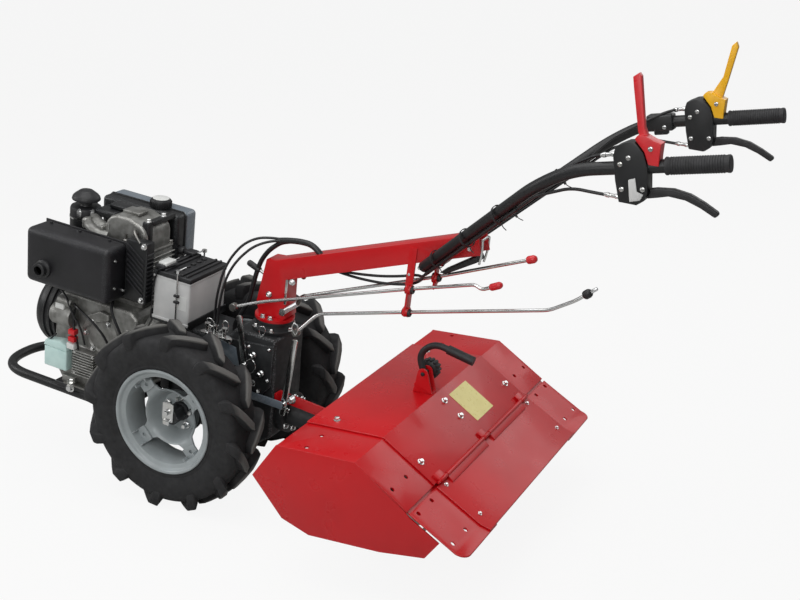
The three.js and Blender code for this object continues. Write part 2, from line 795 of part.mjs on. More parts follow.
// A point beside the tube, `along` it from its foot: 0 degrees is under it, 90 is on its inner side.
function byBar(along, degrees) {
  const turn = THREE.MathUtils.degToRad(degrees);
  const out = besideBar + 3 * cable.radius * Math.sin(turn);
  return barFoot
    .clone()
    .addScaledVector(barWay, along)
    .addScaledVector(underWay, out * Math.cos(turn))
    .addScaledVector(innerWay, out * Math.sin(turn))
    .toArray();
}
function underBar(along) {
  return byBar(along, 0);
}
const upperSag = [
  [12, 330, 447], [14, 345, 449], [17, 400, 457], [20, 460, 469], [20, 514, 484], [22, 560, 501],
  [40, 582, 508], underBar(-12), underBar(-gap),
];
const lowerSag = [
  [4, 318, 443], [8, 345, 442], [14, 400, 444], [18, 476, 452], [20, 544, 470], [25, 566, 484],
  [42, 584, 502], underBar(-12), underBar(-gap),
];
add(
  tractor,
  "cables_under_beam",
  join(tube(upperSag, cable.radius, 8, 60, 2), tube(lowerSag, cable.radius, 8, 60, 2)),
  cableRubber,
);
// The cables of a hand lever: along the underside of the tube, then one to each end of the housing.
function onGripPoint(x, along, up) {
  return new THREE.Vector3(0, along, up)
    .applyAxisAngle(new THREE.Vector3(1, 0, 0), gripTilt)
    .add(gripStart)
    .add(new THREE.Vector3(x, 0, 0))
    .toArray();
}
function barCableShape() {
  const [x, y, z] = barPath[1];
  const along = [underBar(0), underBar(240), underBar(430)];
  const lower = [
    underBar(420), underBar(480), underBar(505), onGripPoint(0, -200, -38), onGripPoint(0, -150, -50),
    onGripPoint(0, -100 - gap, -60),
  ];
  const upper = [
    underBar(390), byBar(420, 40), byBar(460, 85), [x - 32, y + 12, z + 16],
    [barPath[2][0] - 24, barPath[2][1], barPath[2][2] + 10],
    onGripPoint(-14, -150, 24), onGripPoint(0, -122, 29), onGripPoint(0, -100 - gap, 29),
  ];
  return join(
    tube(along, cable.bundleRadius, 10, 40, 3),
    tube(lower, cable.radius, 8, 60, 3),
    tube(upper, cable.radius, 8, 60, 3),
  );
}
addPair(tractor, "bar_cable", barCableShape(), cableRubber);

// ---- gear levers on the gearbox side ----
// A flat strap from `top` to `foot`, with its pivot boss standing on a side wall at `seat`.
function gearLeverShape(top, foot, pivot, inner, seat) {
  const way = new THREE.Vector2(foot[0] - top[0], foot[1] - top[1]).normalize().multiplyScalar(9);
  const side = [-way.y, way.x];
  const flat = alongX(
    [
      [top[0] - side[0], top[1] - side[1]], [foot[0] - side[0], foot[1] - side[1]],
      [foot[0] + way.x, foot[1] + way.y], [foot[0] + side[0], foot[1] + side[1]],
      [top[0] + side[0], top[1] + side[1]], [top[0] - way.x * 0.6, top[1] - way.y * 0.6],
    ],
    inner,
    inner + 6,
  );
  const boss = drum(8, seat, inner + 12, "x", 14).translate(0, ...pivot);
  return join(flat, boss);
}
const gearboxSide = gearbox.halfWidth + gap;
const hitchArmSide = gearCase.bracketHalfWidth + hitchArm.sheet + 2 * gap;
add(
  tractor,
  "gear_lever_front",
  gearLeverShape([100, 272], [128, 140], [128, 140], 86, gearboxSide),
  chrome,
);
add(
  tractor,
  "gear_lever_rear",
  gearLeverShape([264, 246], [247, 30], [249, 56], 70, hitchArmSide),
  chrome,
);

// ---- tiller ----
function sheetPath(drop) {
  const { frontY, topZ, foldY, seamY, seamZ } = hood;
  return [
    [frontY, topZ - drop],
    [foldY - drop * 0.33, topZ - drop],
    [seamY - drop * 0.57, seamZ - drop * 0.82],
  ];
}
function sheetOutline(drop, lower) {
  const top = sheetPath(drop);
  const under = sheetPath(drop + lower).reverse();
  return [...top, ...under];
}
add(
  tiller,
  "hood_plate",
  alongX(sheetOutline(0, hood.sheet), -hood.mainHalfWidth, hood.mainHalfWidth),
  redPaint,
);
function hoodWingShape() {
  const nest = hood.sheet + gap;
  const roof = alongX(sheetOutline(nest, hood.sheet), hood.mainHalfWidth - 40, hood.halfWidth);
  const side = alongX(
    [
      [456, hood.topZ - nest], [660, hood.topZ - nest], [790, 6], [801, -7], [877, -56], [841, -102],
      [726, -115], [538, -117], [465, -89], [387, 8.6],
    ],
    hood.halfWidth - hood.sheet,
    hood.halfWidth,
  );
  return join(roof, side);
}
addPair(tiller, "hood_wing", hoodWingShape(), redPaint);
// The flap hangs from a pin above the seam, on knuckles of the hood and of the flap.
const slope = Math.atan2(hood.topZ - hood.seamZ, hood.seamY - hood.foldY);
const seamMiddle = [hood.seamY + 3, hood.seamZ - 2.1];
const flapAxis = [
  seamMiddle[0] + Math.sin(slope) * flapPin.lift,
  seamMiddle[1] + Math.cos(slope) * flapPin.lift,
];
function knuckleShape(from, to, bore, toward) {
  const outside = drum(flapPin.knuckle, from, to, "x", 16).translate(0, ...flapAxis);
  const alongSlope = [Math.cos(slope) * toward, -Math.sin(slope) * toward];
  const down = [-Math.sin(slope), -Math.cos(slope)];
  const place = (a, d) => [
    flapAxis[0] + alongSlope[0] * a + down[0] * d,
    flapAxis[1] + alongSlope[1] * a + down[1] * d,
  ];
  const depth = toward > 0 ? flapPin.lift + 1.5 : flapPin.lift - gap;
  const foot = [place(4, 0), place(4, depth), place(22, depth), place(22, depth - 5), place(8, 0)];
  const whole = join(outside, alongX(toward > 0 ? foot : foot.reverse(), from, to));
  return bore ? cut(whole, drum(bore, from - 1, to + 1, "x", 16).translate(0, ...flapAxis)) : whole;
}
function hingeRodShape() {
  const pin = drum(flapPin.radius, -hood.mainHalfWidth + 4, hood.mainHalfWidth - 4, "x", 12);
  pin.translate(0, ...flapAxis);
  return join(pin, ...flapPin.fixed.map(([from, to]) => knuckleShape(from, to, 0, -1)));
}
add(tiller, "flap_hinge_rod", hingeRodShape(), redPaint);
function flapOutline(drop) {
  const sink = [drop * Math.sin(slope), drop * Math.cos(slope)];
  return [
    [hood.seamY + 6 - sink[0], hood.seamZ - 4.2 - sink[1]],
    [flapBend.y - sink[0] * 0.8, flapBend.z - sink[1] * 1.06],
    [flapEnd.y, flapEnd.z - drop],
  ];
}
function flapShape() {
  const sheet = alongX(
    [...flapOutline(0), ...flapOutline(hood.sheet).reverse()],
    -hood.mainHalfWidth,
    hood.mainHalfWidth,
  );
  const bore = flapPin.radius + pinClearance;
  return join(sheet, ...flapPin.moving.map(([from, to]) => knuckleShape(from, to, bore, 1)));
}
add(tiller, "rear_flap", flapShape(), redPaint);
function flapWingShape() {
  const upper = hood.sheet + gap;
  const lower = upper + hood.sheet;
  const sheet = alongX(
    [...flapOutline(upper), ...flapOutline(lower).reverse()],
    hood.mainHalfWidth - 40,
    hood.halfWidth,
  );
  const middle = [hood.halfWidth - flapCornerRadius, flapEnd.y - flapCornerRadius];
  const arc = Array.from({ length: 7 }, (_, i) => {
    const angle = (i * Math.PI) / 12;
    return [
      middle[0] + flapCornerRadius * Math.cos(angle),
      middle[1] + flapCornerRadius * Math.sin(angle),
    ];
  });
  const beyond = 5;
  const outside = [
    [middle[0], flapEnd.y + beyond],
    [hood.halfWidth + beyond, flapEnd.y + beyond],
    [hood.halfWidth + beyond, middle[1]],
  ];
  return cut(sheet, alongZ([...arc, ...outside], flapEnd.z - 50, flapEnd.z + 30));
}
addPair(tiller, "flap_wing", flapWingShape(), redPaint);
// Gear case of the rotor, with the neck and the flange that bolt to the gearbox.
const lean = THREE.MathUtils.degToRad(-noseUp);
function gearCaseShape() {
  const caseRing = ring(gearCase.radius, 20).map(({ x, y }) => [rotor.y + x, rotor.z + y]);
  const body = alongX(caseRing, -gearCase.halfWidth, gearCase.halfWidth);
  const neck = drum(gearCase.neckRadius, gearbox.rear + 20, 600, "y", 16).rotateX(lean);
  const flange = drum(58, gearbox.rear + gap, gearbox.rear + 26, "y", 20).rotateX(lean);
  const bore = drum(rotor.shaftRadius + 2 * pinClearance, -60, 60, "x", 12).translate(0, rotor.y, rotor.z);
  return cut(join(body, neck, flange, hoodBracketShape()), bore);
}
function hoodBracketShape() {
  const { bracketFront, bracketRear, neckRadius } = gearCase;
  const overNeck = (y) => y * Math.tan(lean) + (neckRadius - 3) / Math.cos(lean);
  const top = hood.topZ - hood.sheet - gap;
  return alongX(
    [
      [bracketFront, overNeck(bracketFront)], [bracketRear, overNeck(bracketRear)],
      [bracketRear, top], [bracketFront, top],
    ],
    -gearCase.bracketHalfWidth,
    gearCase.bracketHalfWidth,
  );
}
add(tiller, "tiller_gear_case", gearCaseShape(), castBlack);
// The red arm from the rear of the gearbox to the bracket under the hood.
function hitchArmShape() {
  const inner = gearCase.bracketHalfWidth + gap;
  const { sheet, frontTop, rearTop, height, footReach } = hitchArm;
  const rear = gearCase.bracketRear - 10;
  const bar = alongX(
    [
      [hitchArm.front, frontTop - height], [rear, rearTop - height], [rear, rearTop],
      [hitchArm.front, frontTop],
    ],
    inner,
    inner + sheet,
  );
  const foot = block(
    inner, inner + footReach, hitchArm.front, hitchArm.front + sheet, frontTop - height, frontTop,
  );
  return join(bar, foot);
}
add(tiller, "hitch_arm", hitchArmShape(), redPaint);
// The bracket on the hood that holds the depth handle.
function depthBracketShape() {
  const { halfWidth, sheet, pinY, pinZ, headRadius } = depthBracket;
  const foot = hood.topZ + gap;
  const head = Array.from({ length: 9 }, (_, i) => {
    const angle = (i * Math.PI) / 8;
    return [pinY + headRadius * Math.cos(angle), pinZ + headRadius * Math.sin(angle)];
  });
  const ear = [[608, foot], [662, foot], ...head];
  const ears = [-halfWidth, halfWidth - sheet].map((x) => alongX(ear, x, x + sheet));
  const base = block(-halfWidth, halfWidth, 608, 662, foot, foot + sheet);
  const back = block(-halfWidth, halfWidth, 612, 612 + sheet, foot, 128);
  const bore = drum(depthPinRadius + pinClearance, -60, 60, "x", 14).translate(0, pinY, pinZ);
  return cut(join(...ears, base, back), bore);
}
add(tiller, "depth_bracket", depthBracketShape(), redPaint);
// The bent depth handle, with the pin and the hand knob that hold it in its bracket.
function depthHandleShape() {
  const { pinY, pinZ, halfWidth } = depthBracket;
  const handle = tube(depthHandlePath, depthHandle.radius, 12, 40, 6);
  const grip = tube([[0, 702, 228.6], [0, 770, 208.6]], depthHandle.gripRadius, 14);
  const pin = drum(depthPinRadius, -halfWidth - 22, halfWidth + 3, "x", 14).translate(0, pinY, pinZ);
  const knob = drum(22, -halfWidth - 28, -halfWidth - 6, "x", 10).translate(0, pinY, pinZ);
  return join(handle, grip, pin, knob);
}
add(tiller, "depth_handle", depthHandleShape(), blackPlastic);
function rotorShape() {
  const shaft = drum(rotor.shaftRadius, -290, 290, "x", 12);
  const pieces = [];
  for (const side of [-1, 1]) {
    rotorDiscs.forEach((x, i) => {
      const at = side * x;
      pieces.push(drum(rotor.discRadius, at - 4, at + 4, "x", 12));
      for (let k = 0; k < 4; k += 1) {
        const angle = (k * Math.PI) / 2 + (i * Math.PI) / 8;
        const { tineWidth, tineSheet, tipRadius } = rotor;
        const toward = i % 2 === 0 ? 1 : -1;
        const reach = 40 * toward * side;
        const halfSheet = tineSheet / 2;
        const halfWidth = tineWidth / 2;
        const end = tipRadius - 4;
        const from = Math.min(at, at + reach);
        const to = Math.max(at, at + reach);
        pieces.push(
          block(at - halfSheet, at + halfSheet, -halfWidth, halfWidth, 30, end).rotateX(angle),
          block(from, to, -halfWidth, halfWidth, end - tineSheet, end).rotateX(angle),
        );
      }
    });
  }
  return toGeometry(join(shaft, ...pieces)).translate(0, rotor.y, rotor.z);
}
add(tiller, "tiller_rotor", rotorShape(), steel);
const groundZ = -wheel.radius;
// Just under the sloping hood plate.
function underHood(y) {
  return hood.seamZ + ((hood.seamY - y) * (hood.topZ - hood.seamZ)) / (hood.seamY - hood.foldY) - 5.4;
}
add(
  tiller,
  "depth_skid",
  alongX(
    [
      [spur.frontY, underHood(spur.frontY)], [spur.rearTopY, underHood(spur.rearTopY)],
      [spur.frontY + spur.sheet, 2], [spur.frontY + spur.sheet, groundZ + 16],
      [spur.frontY + spur.sheet - 8, groundZ], [spur.footFront, groundZ], [spur.footFront - 12, groundZ + 8],
      [spur.footFront - 8, groundZ + 14], [spur.footFront + 4, groundZ + 10], [spur.frontY, groundZ + 12],
    ],
    -spur.halfWidth,
    spur.halfWidth,
  ),
  blackPaint,
);

export default walkingTractor;
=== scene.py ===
import json
import math

import bmesh
import bpy
from mathutils import Matrix, Vector


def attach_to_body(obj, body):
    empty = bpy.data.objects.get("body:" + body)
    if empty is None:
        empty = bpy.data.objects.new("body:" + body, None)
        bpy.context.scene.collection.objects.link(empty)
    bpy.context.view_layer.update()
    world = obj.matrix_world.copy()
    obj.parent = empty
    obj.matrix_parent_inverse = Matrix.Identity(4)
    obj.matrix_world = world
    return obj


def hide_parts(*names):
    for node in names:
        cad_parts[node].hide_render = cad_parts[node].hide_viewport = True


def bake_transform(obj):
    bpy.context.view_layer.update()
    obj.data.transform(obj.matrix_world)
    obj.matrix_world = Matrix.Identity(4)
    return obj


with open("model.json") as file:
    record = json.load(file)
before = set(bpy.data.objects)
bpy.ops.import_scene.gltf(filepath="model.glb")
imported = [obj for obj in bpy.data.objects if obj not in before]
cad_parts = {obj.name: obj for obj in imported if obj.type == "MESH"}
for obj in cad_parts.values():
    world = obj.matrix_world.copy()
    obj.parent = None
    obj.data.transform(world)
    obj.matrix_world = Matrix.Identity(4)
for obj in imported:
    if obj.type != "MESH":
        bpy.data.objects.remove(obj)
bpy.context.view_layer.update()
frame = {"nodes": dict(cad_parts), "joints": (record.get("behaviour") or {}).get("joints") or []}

joints = {joint["name"]: joint for joint in frame["joints"]}
axle = Vector((0, *joints["wheel_left_spin"]["pos_m"][1:]))
upright = Vector(joints["column_swivel"]["axis"])
lean = math.atan2(upright.y, upright.z)
millimetres = Matrix.Scale(0.001, 4)
level = Matrix.Translation(axle) @ millimetres  # the tiller is drawn level, in mm from the axle
# the tractor is drawn upright, in mm from the axle, and leans back on it
tractor = Matrix.Translation(axle) @ Matrix.Rotation(-lean, 4, "X") @ millimetres
asPacked = Matrix.Identity(4)
bothSides = ((1, "left"), (-1, "right"))


# ---- mesh helpers, all in the units of the place that they are put at ----
def closed(shape):
    bmesh.ops.recalc_face_normals(shape, faces=shape.faces)
    return shape


def alongAxis(a, b, along, axis):
    return {"x": (along, a, b), "y": (a, along, b), "z": (a, b, along)}[axis]


def skin(shape, rings, loop=False):  # a ring of one vertex closes the skin to a point
    for a, b in list(zip(rings, rings[1:])) + ([(rings[-1], rings[0])] if loop else []):
        for i in range(max(len(a), len(b))):
            k = i + 1
            face = dict.fromkeys((a[i % len(a)], a[k % len(a)], b[k % len(b)], b[i % len(b)]))
            if len(face) > 2:
                shape.faces.new(list(face))


def capped(shape, rings):
    skin(shape, rings)
    shape.faces.new(rings[0])
    shape.faces.new(rings[-1])
    return closed(shape)


def prism(outline, start, end, axis="x"):
    shape = bmesh.new()
    ends = [
        [shape.verts.new(alongAxis(a, b, along, axis)) for a, b in outline]
        for along in (start, end)
    ]
    shape.faces.new(ends[0])
    shape.faces.new(ends[1])
    skin(shape, ends)
    return closed(shape)


def slab(x0, x1, y0, y1, z0, z1):
    return prism([(x0, y0), (x1, y0), (x1, y1), (x0, y1)], z0, z1, "z")


def turned(profile, axis="x", sides=64, at=(0, 0, 0), loop=False):
    shape = bmesh.new()
    rings = []
    for radius, along in profile:
        turns = [2 * math.pi * i / sides for i in range(sides if radius > 1e-6 else 1)]
        spots = [alongAxis(radius * math.cos(t), radius * math.sin(t), along, axis) for t in turns]
        rings.append([shape.verts.new(Vector(spot) + Vector(at)) for spot in spots])
    skin(shape, rings, loop)
    return closed(shape)


def roundedPath(corners, bend, steps):
    spots = [Vector(corner) for corner in corners]
    path = [spots[0]]
    for before, here, after in zip(spots, spots[1:], spots[2:]):
        back, ahead = before - here, after - here
        reach = min(bend, back.length * 0.48, ahead.length * 0.48)
        start, end = here + back.normalized() * reach, here + ahead.normalized() * reach
        for i in range(steps + 1):
            t = i / steps
            path.append(start.lerp(here, t).lerp(here.lerp(end, t), t))
    path.append(spots[-1])
    return [spot for i, spot in enumerate(path) if i == 0 or (spot - path[i - 1]).length > 1e-3]


def swept(path, outline):
    shape = bmesh.new()
    side = None
    rings = []
    for i, here in enumerate(path):
        way = (path[min(i + 1, len(path) - 1)] - path[max(i - 1, 0)]).normalized()
        side = side or way.orthogonal().normalized()
        side = (side - way * side.dot(way)).normalized()
        up = way.cross(side)
        rings.append([shape.verts.new(here + side * a + up * b) for a, b in outline])
    return capped(shape, rings)


def around(count, radius, start=0):
    turns = [2 * math.pi * k / count + start for k in range(count)]
    return [(radius * math.cos(t), radius * math.sin(t)) for t in turns]


def tube(corners, radius, sides=16, bend=30, steps=8):
    return swept(roundedPath(corners, bend, steps), around(sides, radius, math.pi / sides))


def meshFrom(name, shape):
    mesh = bpy.data.meshes.new(name)
    shape.to_mesh(mesh)
    shape.free()
    return mesh


def linked(name, data):
    thing = bpy.data.objects.new(name, data)
    bpy.context.scene.collection.objects.link(thing)
    return thing


def evaluatedMesh(thing):
    depsgraph = bpy.context.evaluated_depsgraph_get()
    return bpy.data.meshes.new_from_object(thing.evaluated_get(depsgraph), depsgraph=depsgraph)


def joined(*shapes):
    whole = bmesh.new()
    for shape in shapes:
        mesh = meshFrom("joining", shape)
        whole.from_mesh(mesh)
        bpy.data.meshes.remove(mesh)
    return whole


def moved(shape, place):
    bmesh.ops.transform(shape, matrix=place, verts=shape.verts)
    return shape


def mirrored(shape):
    return closed(moved(shape, Matrix.Scale(-1, 4, (1, 0, 0))))


def onSide(side, shape):
    return shape if side > 0 else mirrored(shape)


def pointing(at, way):
    return Matrix.Translation(at) @ Vector(way).to_track_quat("Z", "Y").to_matrix().to_4x4()


def roundEdges(shape, width, segments=2, angle=28):
    wear = shape.faces.layers.float.get("edgeWear") or shape.faces.layers.float.new("edgeWear")
    limit = math.radians(angle)
    sharp = [
        edge
        for edge in shape.edges if len(edge.link_faces) == 2 and edge.calc_face_angle(0) > limit
    ]
    made = bmesh.ops.bevel(
        shape, geom=sharp, offset=width, offset_type="OFFSET", segments=segments,
        profile=0.5, affect="EDGES", clamp_overlap=True,
    )
    for face in made["faces"]:
        face[wear] = 1
    return shape


def roundedBox(x0, x1, y0, y1, z0, z1, edge, segments=3):
    return roundEdges(slab(x0, x1, y0, y1, z0, z1), edge, segments)


def drilled(shape, cutter):
    pair = [linked("drilling", meshFrom("drilling", source)) for source in (shape, cutter)]
    modifier = pair[0].modifiers.new("holes", "BOOLEAN")
    modifier.operation = "DIFFERENCE"
    modifier.solver = "EXACT"
    modifier.object = pair[1]
    mesh = evaluatedMesh(pair[0])
    result = bmesh.new()
    result.from_mesh(mesh)
    bpy.data.meshes.remove(mesh)
    for thing in pair:
        spare = thing.data
        bpy.data.objects.remove(thing)
        bpy.data.meshes.remove(spare)
    return result


def refined(node, width, segments=2, angle=28):
    shape = bmesh.new()
    shape.from_mesh(frame["nodes"][node].data)
    bmesh.ops.remove_doubles(shape, verts=shape.verts, dist=1e-5)
    flat = math.radians(1)
    bmesh.ops.dissolve_limit(shape, angle_limit=flat, verts=shape.verts, edges=shape.edges)
    return roundEdges(shape, width * 0.001, segments, angle)


def attach(piece, body, replaces):
    if replaces:
        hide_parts(*replaces)
    if body:
        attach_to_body(piece, body)
    return piece


def settle(mesh, smooth):
    if "custom_normal" in mesh.attributes:
        mesh.attributes.remove(mesh.attributes["custom_normal"])
    mesh.shade_smooth()
    mesh.set_sharp_from_angle(angle=math.radians(smooth))


def makePiece(name, shape, place, finish, body, replaces=(), smooth=35):
    moved(shape, place)
    closed(shape)
    mesh = meshFrom(name, shape)
    settle(mesh, smooth)
    mesh.materials.append(finishes[finish])
    return attach(linked(name, mesh), body, replaces)


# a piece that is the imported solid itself, with its edges rounded
def recast(name, node, finish, *edges, body="root", smooth=35):
    return makePiece(name, refined(node, *edges), asPacked, finish, body, [node], smooth)


# a piece of the root that leans with the tractor
def fixed(name, shape, finish, *nodes, smooth=35):
    makePiece(name, shape, tractor, finish, "root", nodes, smooth)


# ---- materials ----
def linear(code):
    channels = [int(code[i:i + 2], 16) / 255 for i in (1, 3, 5)]
    return (*[c / 12.92 if c <= 0.04045 else ((c + 0.055) / 1.055) ** 2.4 for c in channels], 1)


def addNode(tree, kind, settings=None, links=None):
    node = tree.nodes.new(kind)
    for key, value in (settings or {}).items():
        if isinstance(key, int) or key[0].isupper():
            node.inputs[key].default_value = value
        else:
            setattr(node, key, value)
    for key, source in (links or {}).items():
        tree.links.new(source, node.inputs[key])
    return node


def calculate(tree, operation, *values):
    settings = {i: value for i, value in enumerate(values) if isinstance(value, float)}
    links = {i: value for i, value in enumerate(values) if i not in settings}
    return addNode(tree, "ShaderNodeMath", {"operation": operation, **settings}, links).outputs[0]


def emptyTree(material):
    material.use_nodes = True
    material.node_tree.nodes.clear()
    return material.node_tree


def perMillimetre(size):
    return 1000 / size  # noise scale whose features are `size` mm across, on metres


# the part of a noise's range that each effect is spread over
spans = {"patches": (0.35, 0.68), "chips": (0.52, 0.6), "shine": (0.3, 0.7)}


def makeFinish(name, look):
    material = bpy.data.materials.new(name)
    tree = emptyTree(material)
    here = addNode(tree, "ShaderNodeTexCoord").outputs["Object"]

    def noise(size, detail):
        settings = {"Scale": perMillimetre(size), "Detail": detail}
        return addNode(tree, "ShaderNodeTexNoise", settings, {"Vector": here}).outputs["Fac"]

    def remap(value, low, high, start, end):
        settings = {"From Min": low, "From Max": high, "To Min": start, "To Max": end}
        return addNode(tree, "ShaderNodeMapRange", settings, {"Value": value}).outputs[0]

    def painted(under, share, code):
        settings = {"data_type": "RGBA", 7: linear(code)}
        return addNode(tree, "ShaderNodeMix", settings, {0: share, 6: under}).outputs[2]

    patch, amount = look["patches"]
    plain = addNode(tree, "ShaderNodeRGB")
    plain.outputs[0].default_value = linear(look["colour"])
    patches = remap(noise(patch, 4.0), *spans["patches"], 0.0, amount)
    colour = painted(plain.outputs[0], patches, look["variation"])
    if "wear" in look:
        edge = addNode(tree, "ShaderNodeAttribute", {"attribute_name": "edgeWear"}).outputs["Fac"]
        code, chip, strength = look["wear"]
        chips = remap(noise(chip, 6.0), *spans["chips"], 0.0, strength)
        colour = painted(colour, calculate(tree, "MULTIPLY", edge, chips), code)
    if "topWear" in look:  # rubber scuffed grey where the tread meets the ground
        settings = {"operation": "MULTIPLY_ADD", 1: (0, 1, 1), 2: (0, -axle.y, -axle.z)}
        away = addNode(tree, "ShaderNodeVectorMath", settings, {0: here}).outputs[0]
        radius = addNode(
            tree, "ShaderNodeVectorMath", {"operation": "LENGTH"}, {0: away},
        ).outputs["Value"]
        colour = painted(
            colour, remap(radius, *look["scuffed"], 0.0, look["scuffAmount"]), look["topWear"],
        )
    roughness, spread = look["roughness"]
    rough = remap(noise(patch * 0.4, 5.0), *spans["shine"], roughness - spread, roughness + spread)
    grain, depth = look["grain"]
    settings = {"Strength": 1.0, "Distance": depth * 0.001}
    bump = addNode(tree, "ShaderNodeBump", settings, {"Height": noise(grain, 3.0)}).outputs[0]
    shader = addNode(
        tree, "ShaderNodeBsdfPrincipled",
        {
            "Metallic": look.get("metallic", 0.0), "Coat Weight": look.get("coat", 0.0),
            "Coat Roughness": look.get("coatRoughness", 0.1), "IOR": look.get("ior", 1.5),
        },
        {"Base Color": colour, "Roughness": rough, "Normal": bump},
    )
    addNode(tree, "ShaderNodeOutputMaterial", None, {"Surface": shader.outputs[0]})
    return material


# colour and its variation; patches: their size in mm and how strong they are; roughness and its spread;
# grain: its size and depth in mm; wear on edges: its colour, its chips' size in mm and how strong it is
looks = {
    # gloss alkyd enamel on sheet steel: a deep even red with a sharp sheen and a faint orange peel
    "redEnamel": {
        "colour": "#c20a14", "variation": "#ae0810", "patches": (180, 0.6), "roughness": (0.3, 0.05),
        "grain": (2.4, 0.02), "coat": 0.12, "coatRoughness": 0.08, "ior": 1.45,
        "wear": ("#8a8f92", 2.5, 0.25),
    },
    # satin black enamel on pressed steel: soft wide highlights and faint dust
    "blackEnamel": {
        "colour": "#0e0f11", "variation": "#17181a", "patches": (60, 0.8), "roughness": (0.42, 0.07),
        "grain": (1.6, 0.03), "wear": ("#54575a", 2, 0.5),
    },
    # heat-proof black on the silencer box: nearly matt, warm where it has been hot
    "stoveBlack": {
        "colour": "#141417", "variation": "#1f1e22", "patches": (90, 0.8), "roughness": (0.47, 0.06),
        "grain": (0.9, 0.03), "wear": ("#4c4d50", 2, 0.45),
    },
    # painted grey-iron casting: sand texture of about a millimetre, dull black, grey where touched
    "castIronBlack": {
        "colour": "#151618", "variation": "#26282a", "patches": (45, 0.8), "roughness": (0.55, 0.1),
        "grain": (1.8, 0.16), "wear": ("#6a6c6e", 3, 0.7),
    },
    # die-cast aluminium, left bare: pale grey metal with a dull skin and darker stained patches
    "castAluminium": {
        "colour": "#9c9c99", "variation": "#595854", "patches": (30, 0.7), "roughness": (0.48, 0.1),
        "grain": (1.5, 0.1), "metallic": 0.75, "wear": ("#dad9d4", 2, 0.6),
    },
    # grey enamel on pressed wheel centres: even semi-gloss with road dust
    "wheelEnamel": {
        "colour": "#9da4a6", "variation": "#868c8d", "patches": (70, 0.7), "roughness": (0.36, 0.08),
        "grain": (2.0, 0.03), "coat": 0.2, "wear": ("#5d5f60", 2.5, 0.5),
    },
    # carbon-black tyre rubber: very dark and dull, with a fine moulded skin and scuffed lug tops
    "tyreRubber": {
        "colour": "#141416", "variation": "#1f1f21", "patches": (40, 0.9), "roughness": (0.74, 0.1),
        "grain": (1.2, 0.08), "ior": 1.52, "topWear": "#6f6e6b", "scuffed": (0.249, 0.2545),
        "scuffAmount": 0.75,
    },
    # moulded soft PVC of the grips: matt near-black with a leathery skin
    "gripRubber": {
        "colour": "#1b1b1d", "variation": "#28282b", "patches": (25, 0.8), "roughness": (0.62, 0.08),
        "grain": (0.9, 0.05), "ior": 1.53,
    },
    # bright zinc plate on rods and fasteners: silver, with a slight blue-yellow passivation
    "zincPlate": {
        "colour": "#d9dadb", "variation": "#cdccc6", "patches": (40, 0.6), "roughness": (0.2, 0.03),
        "grain": (3.0, 0.004), "metallic": 1.0,
    },
    # mild steel with oil and handling marks: darker and duller than plate
    "bareSteel": {
        "colour": "#9b9a97", "variation": "#6e6b66", "patches": (20, 0.8), "roughness": (0.38, 0.1),
        "grain": (1.0, 0.03), "metallic": 1.0,
    },
    # glass-filled black nylon mouldings: dull with a fine spark-eroded texture
    "blackNylon": {
        "colour": "#161618", "variation": "#212124", "patches": (30, 0.8), "roughness": (0.5, 0.08),
        "grain": (0.7, 0.04), "ior": 1.53, "wear": ("#3f4043", 2, 0.4),
    },
    # pale grey polypropylene battery case: smooth, waxy, slightly uneven in tone
    "paleCase": {
        "colour": "#cfcfce", "variation": "#bcbdbd", "patches": (60, 0.8), "roughness": (0.4, 0.06),
        "grain": (1.4, 0.02), "ior": 1.49,
    },
    # blue-grey enamel on the pressed fuel tank: gloss with soft reflections
    "tankEnamel": {
        "colour": "#6d7780", "variation": "#5d666f", "patches": (80, 0.7), "roughness": (0.28, 0.05),
        "grain": (2.2, 0.02), "coat": 0.4, "wear": ("#a5a9ac", 2, 0.3),
    },
    # mint ABS box of the electrics: smooth semi-gloss, pale
    "mintPlastic": {
        "colour": "#c9e3df", "variation": "#b4d2cf", "patches": (40, 0.7), "roughness": (0.34, 0.05),
        "grain": (1.2, 0.02), "ior": 1.54,
    },
    # injection-moulded red nylon: bright semi-gloss
    "redNylon": {
        "colour": "#d2222a", "variation": "#bd1a22", "patches": (30, 0.6), "roughness": (0.33, 0.06),
        "grain": (0.9, 0.03), "ior": 1.53,
    },
    # injection-moulded yellow nylon: bright semi-gloss
    "yellowNylon": {
        "colour": "#f2b70f", "variation": "#e0a30a", "patches": (30, 0.6), "roughness": (0.33, 0.06),
        "grain": (0.9, 0.03), "ior": 1.53,
    },
    # extruded PVC cable cover: smooth dark, with a soft sheen
    "cableCover": {
        "colour": "#121214", "variation": "#1c1c1f", "patches": (20, 0.8), "roughness": (0.4, 0.07),
        "grain": (0.8, 0.02), "ior": 1.53,
    },
    # blank vinyl plate: flat and slightly glossy
    "blankYellow": {
        "colour": "#e9dc8a", "variation": "#dfd07a", "patches": (25, 0.6), "roughness": (0.3, 0.05),
        "grain": (1.0, 0.01), "ior": 1.54,
    },
    # blank silver-white vinyl plate
    "blankPale": {
        "colour": "#dcdddb", "variation": "#cfd0ce", "patches": (25, 0.6), "roughness": (0.35, 0.05),
        "grain": (1.0, 0.01), "ior": 1.54,
    },
}
finishes = {name: makeFinish(name, look) for name, look in looks.items()}
print("materials ready")


# ---- Geometry Nodes trees ----
def startTree(name, sockets):
    tree = bpy.data.node_groups.new(name, "GeometryNodeTree")
    tree.is_modifier = True
    tree.interface.new_socket("Geometry", in_out="INPUT", socket_type="NodeSocketGeometry")
    tree.interface.new_socket("Geometry", in_out="OUTPUT", socket_type="NodeSocketGeometry")
    for label, kind in sockets.items():
        tree.interface.new_socket(label, in_out="INPUT", socket_type=kind)
    tree.interface.new_socket("Finish", in_out="INPUT", socket_type="NodeSocketMaterial")
    return tree, addNode(tree, "NodeGroupInput").outputs


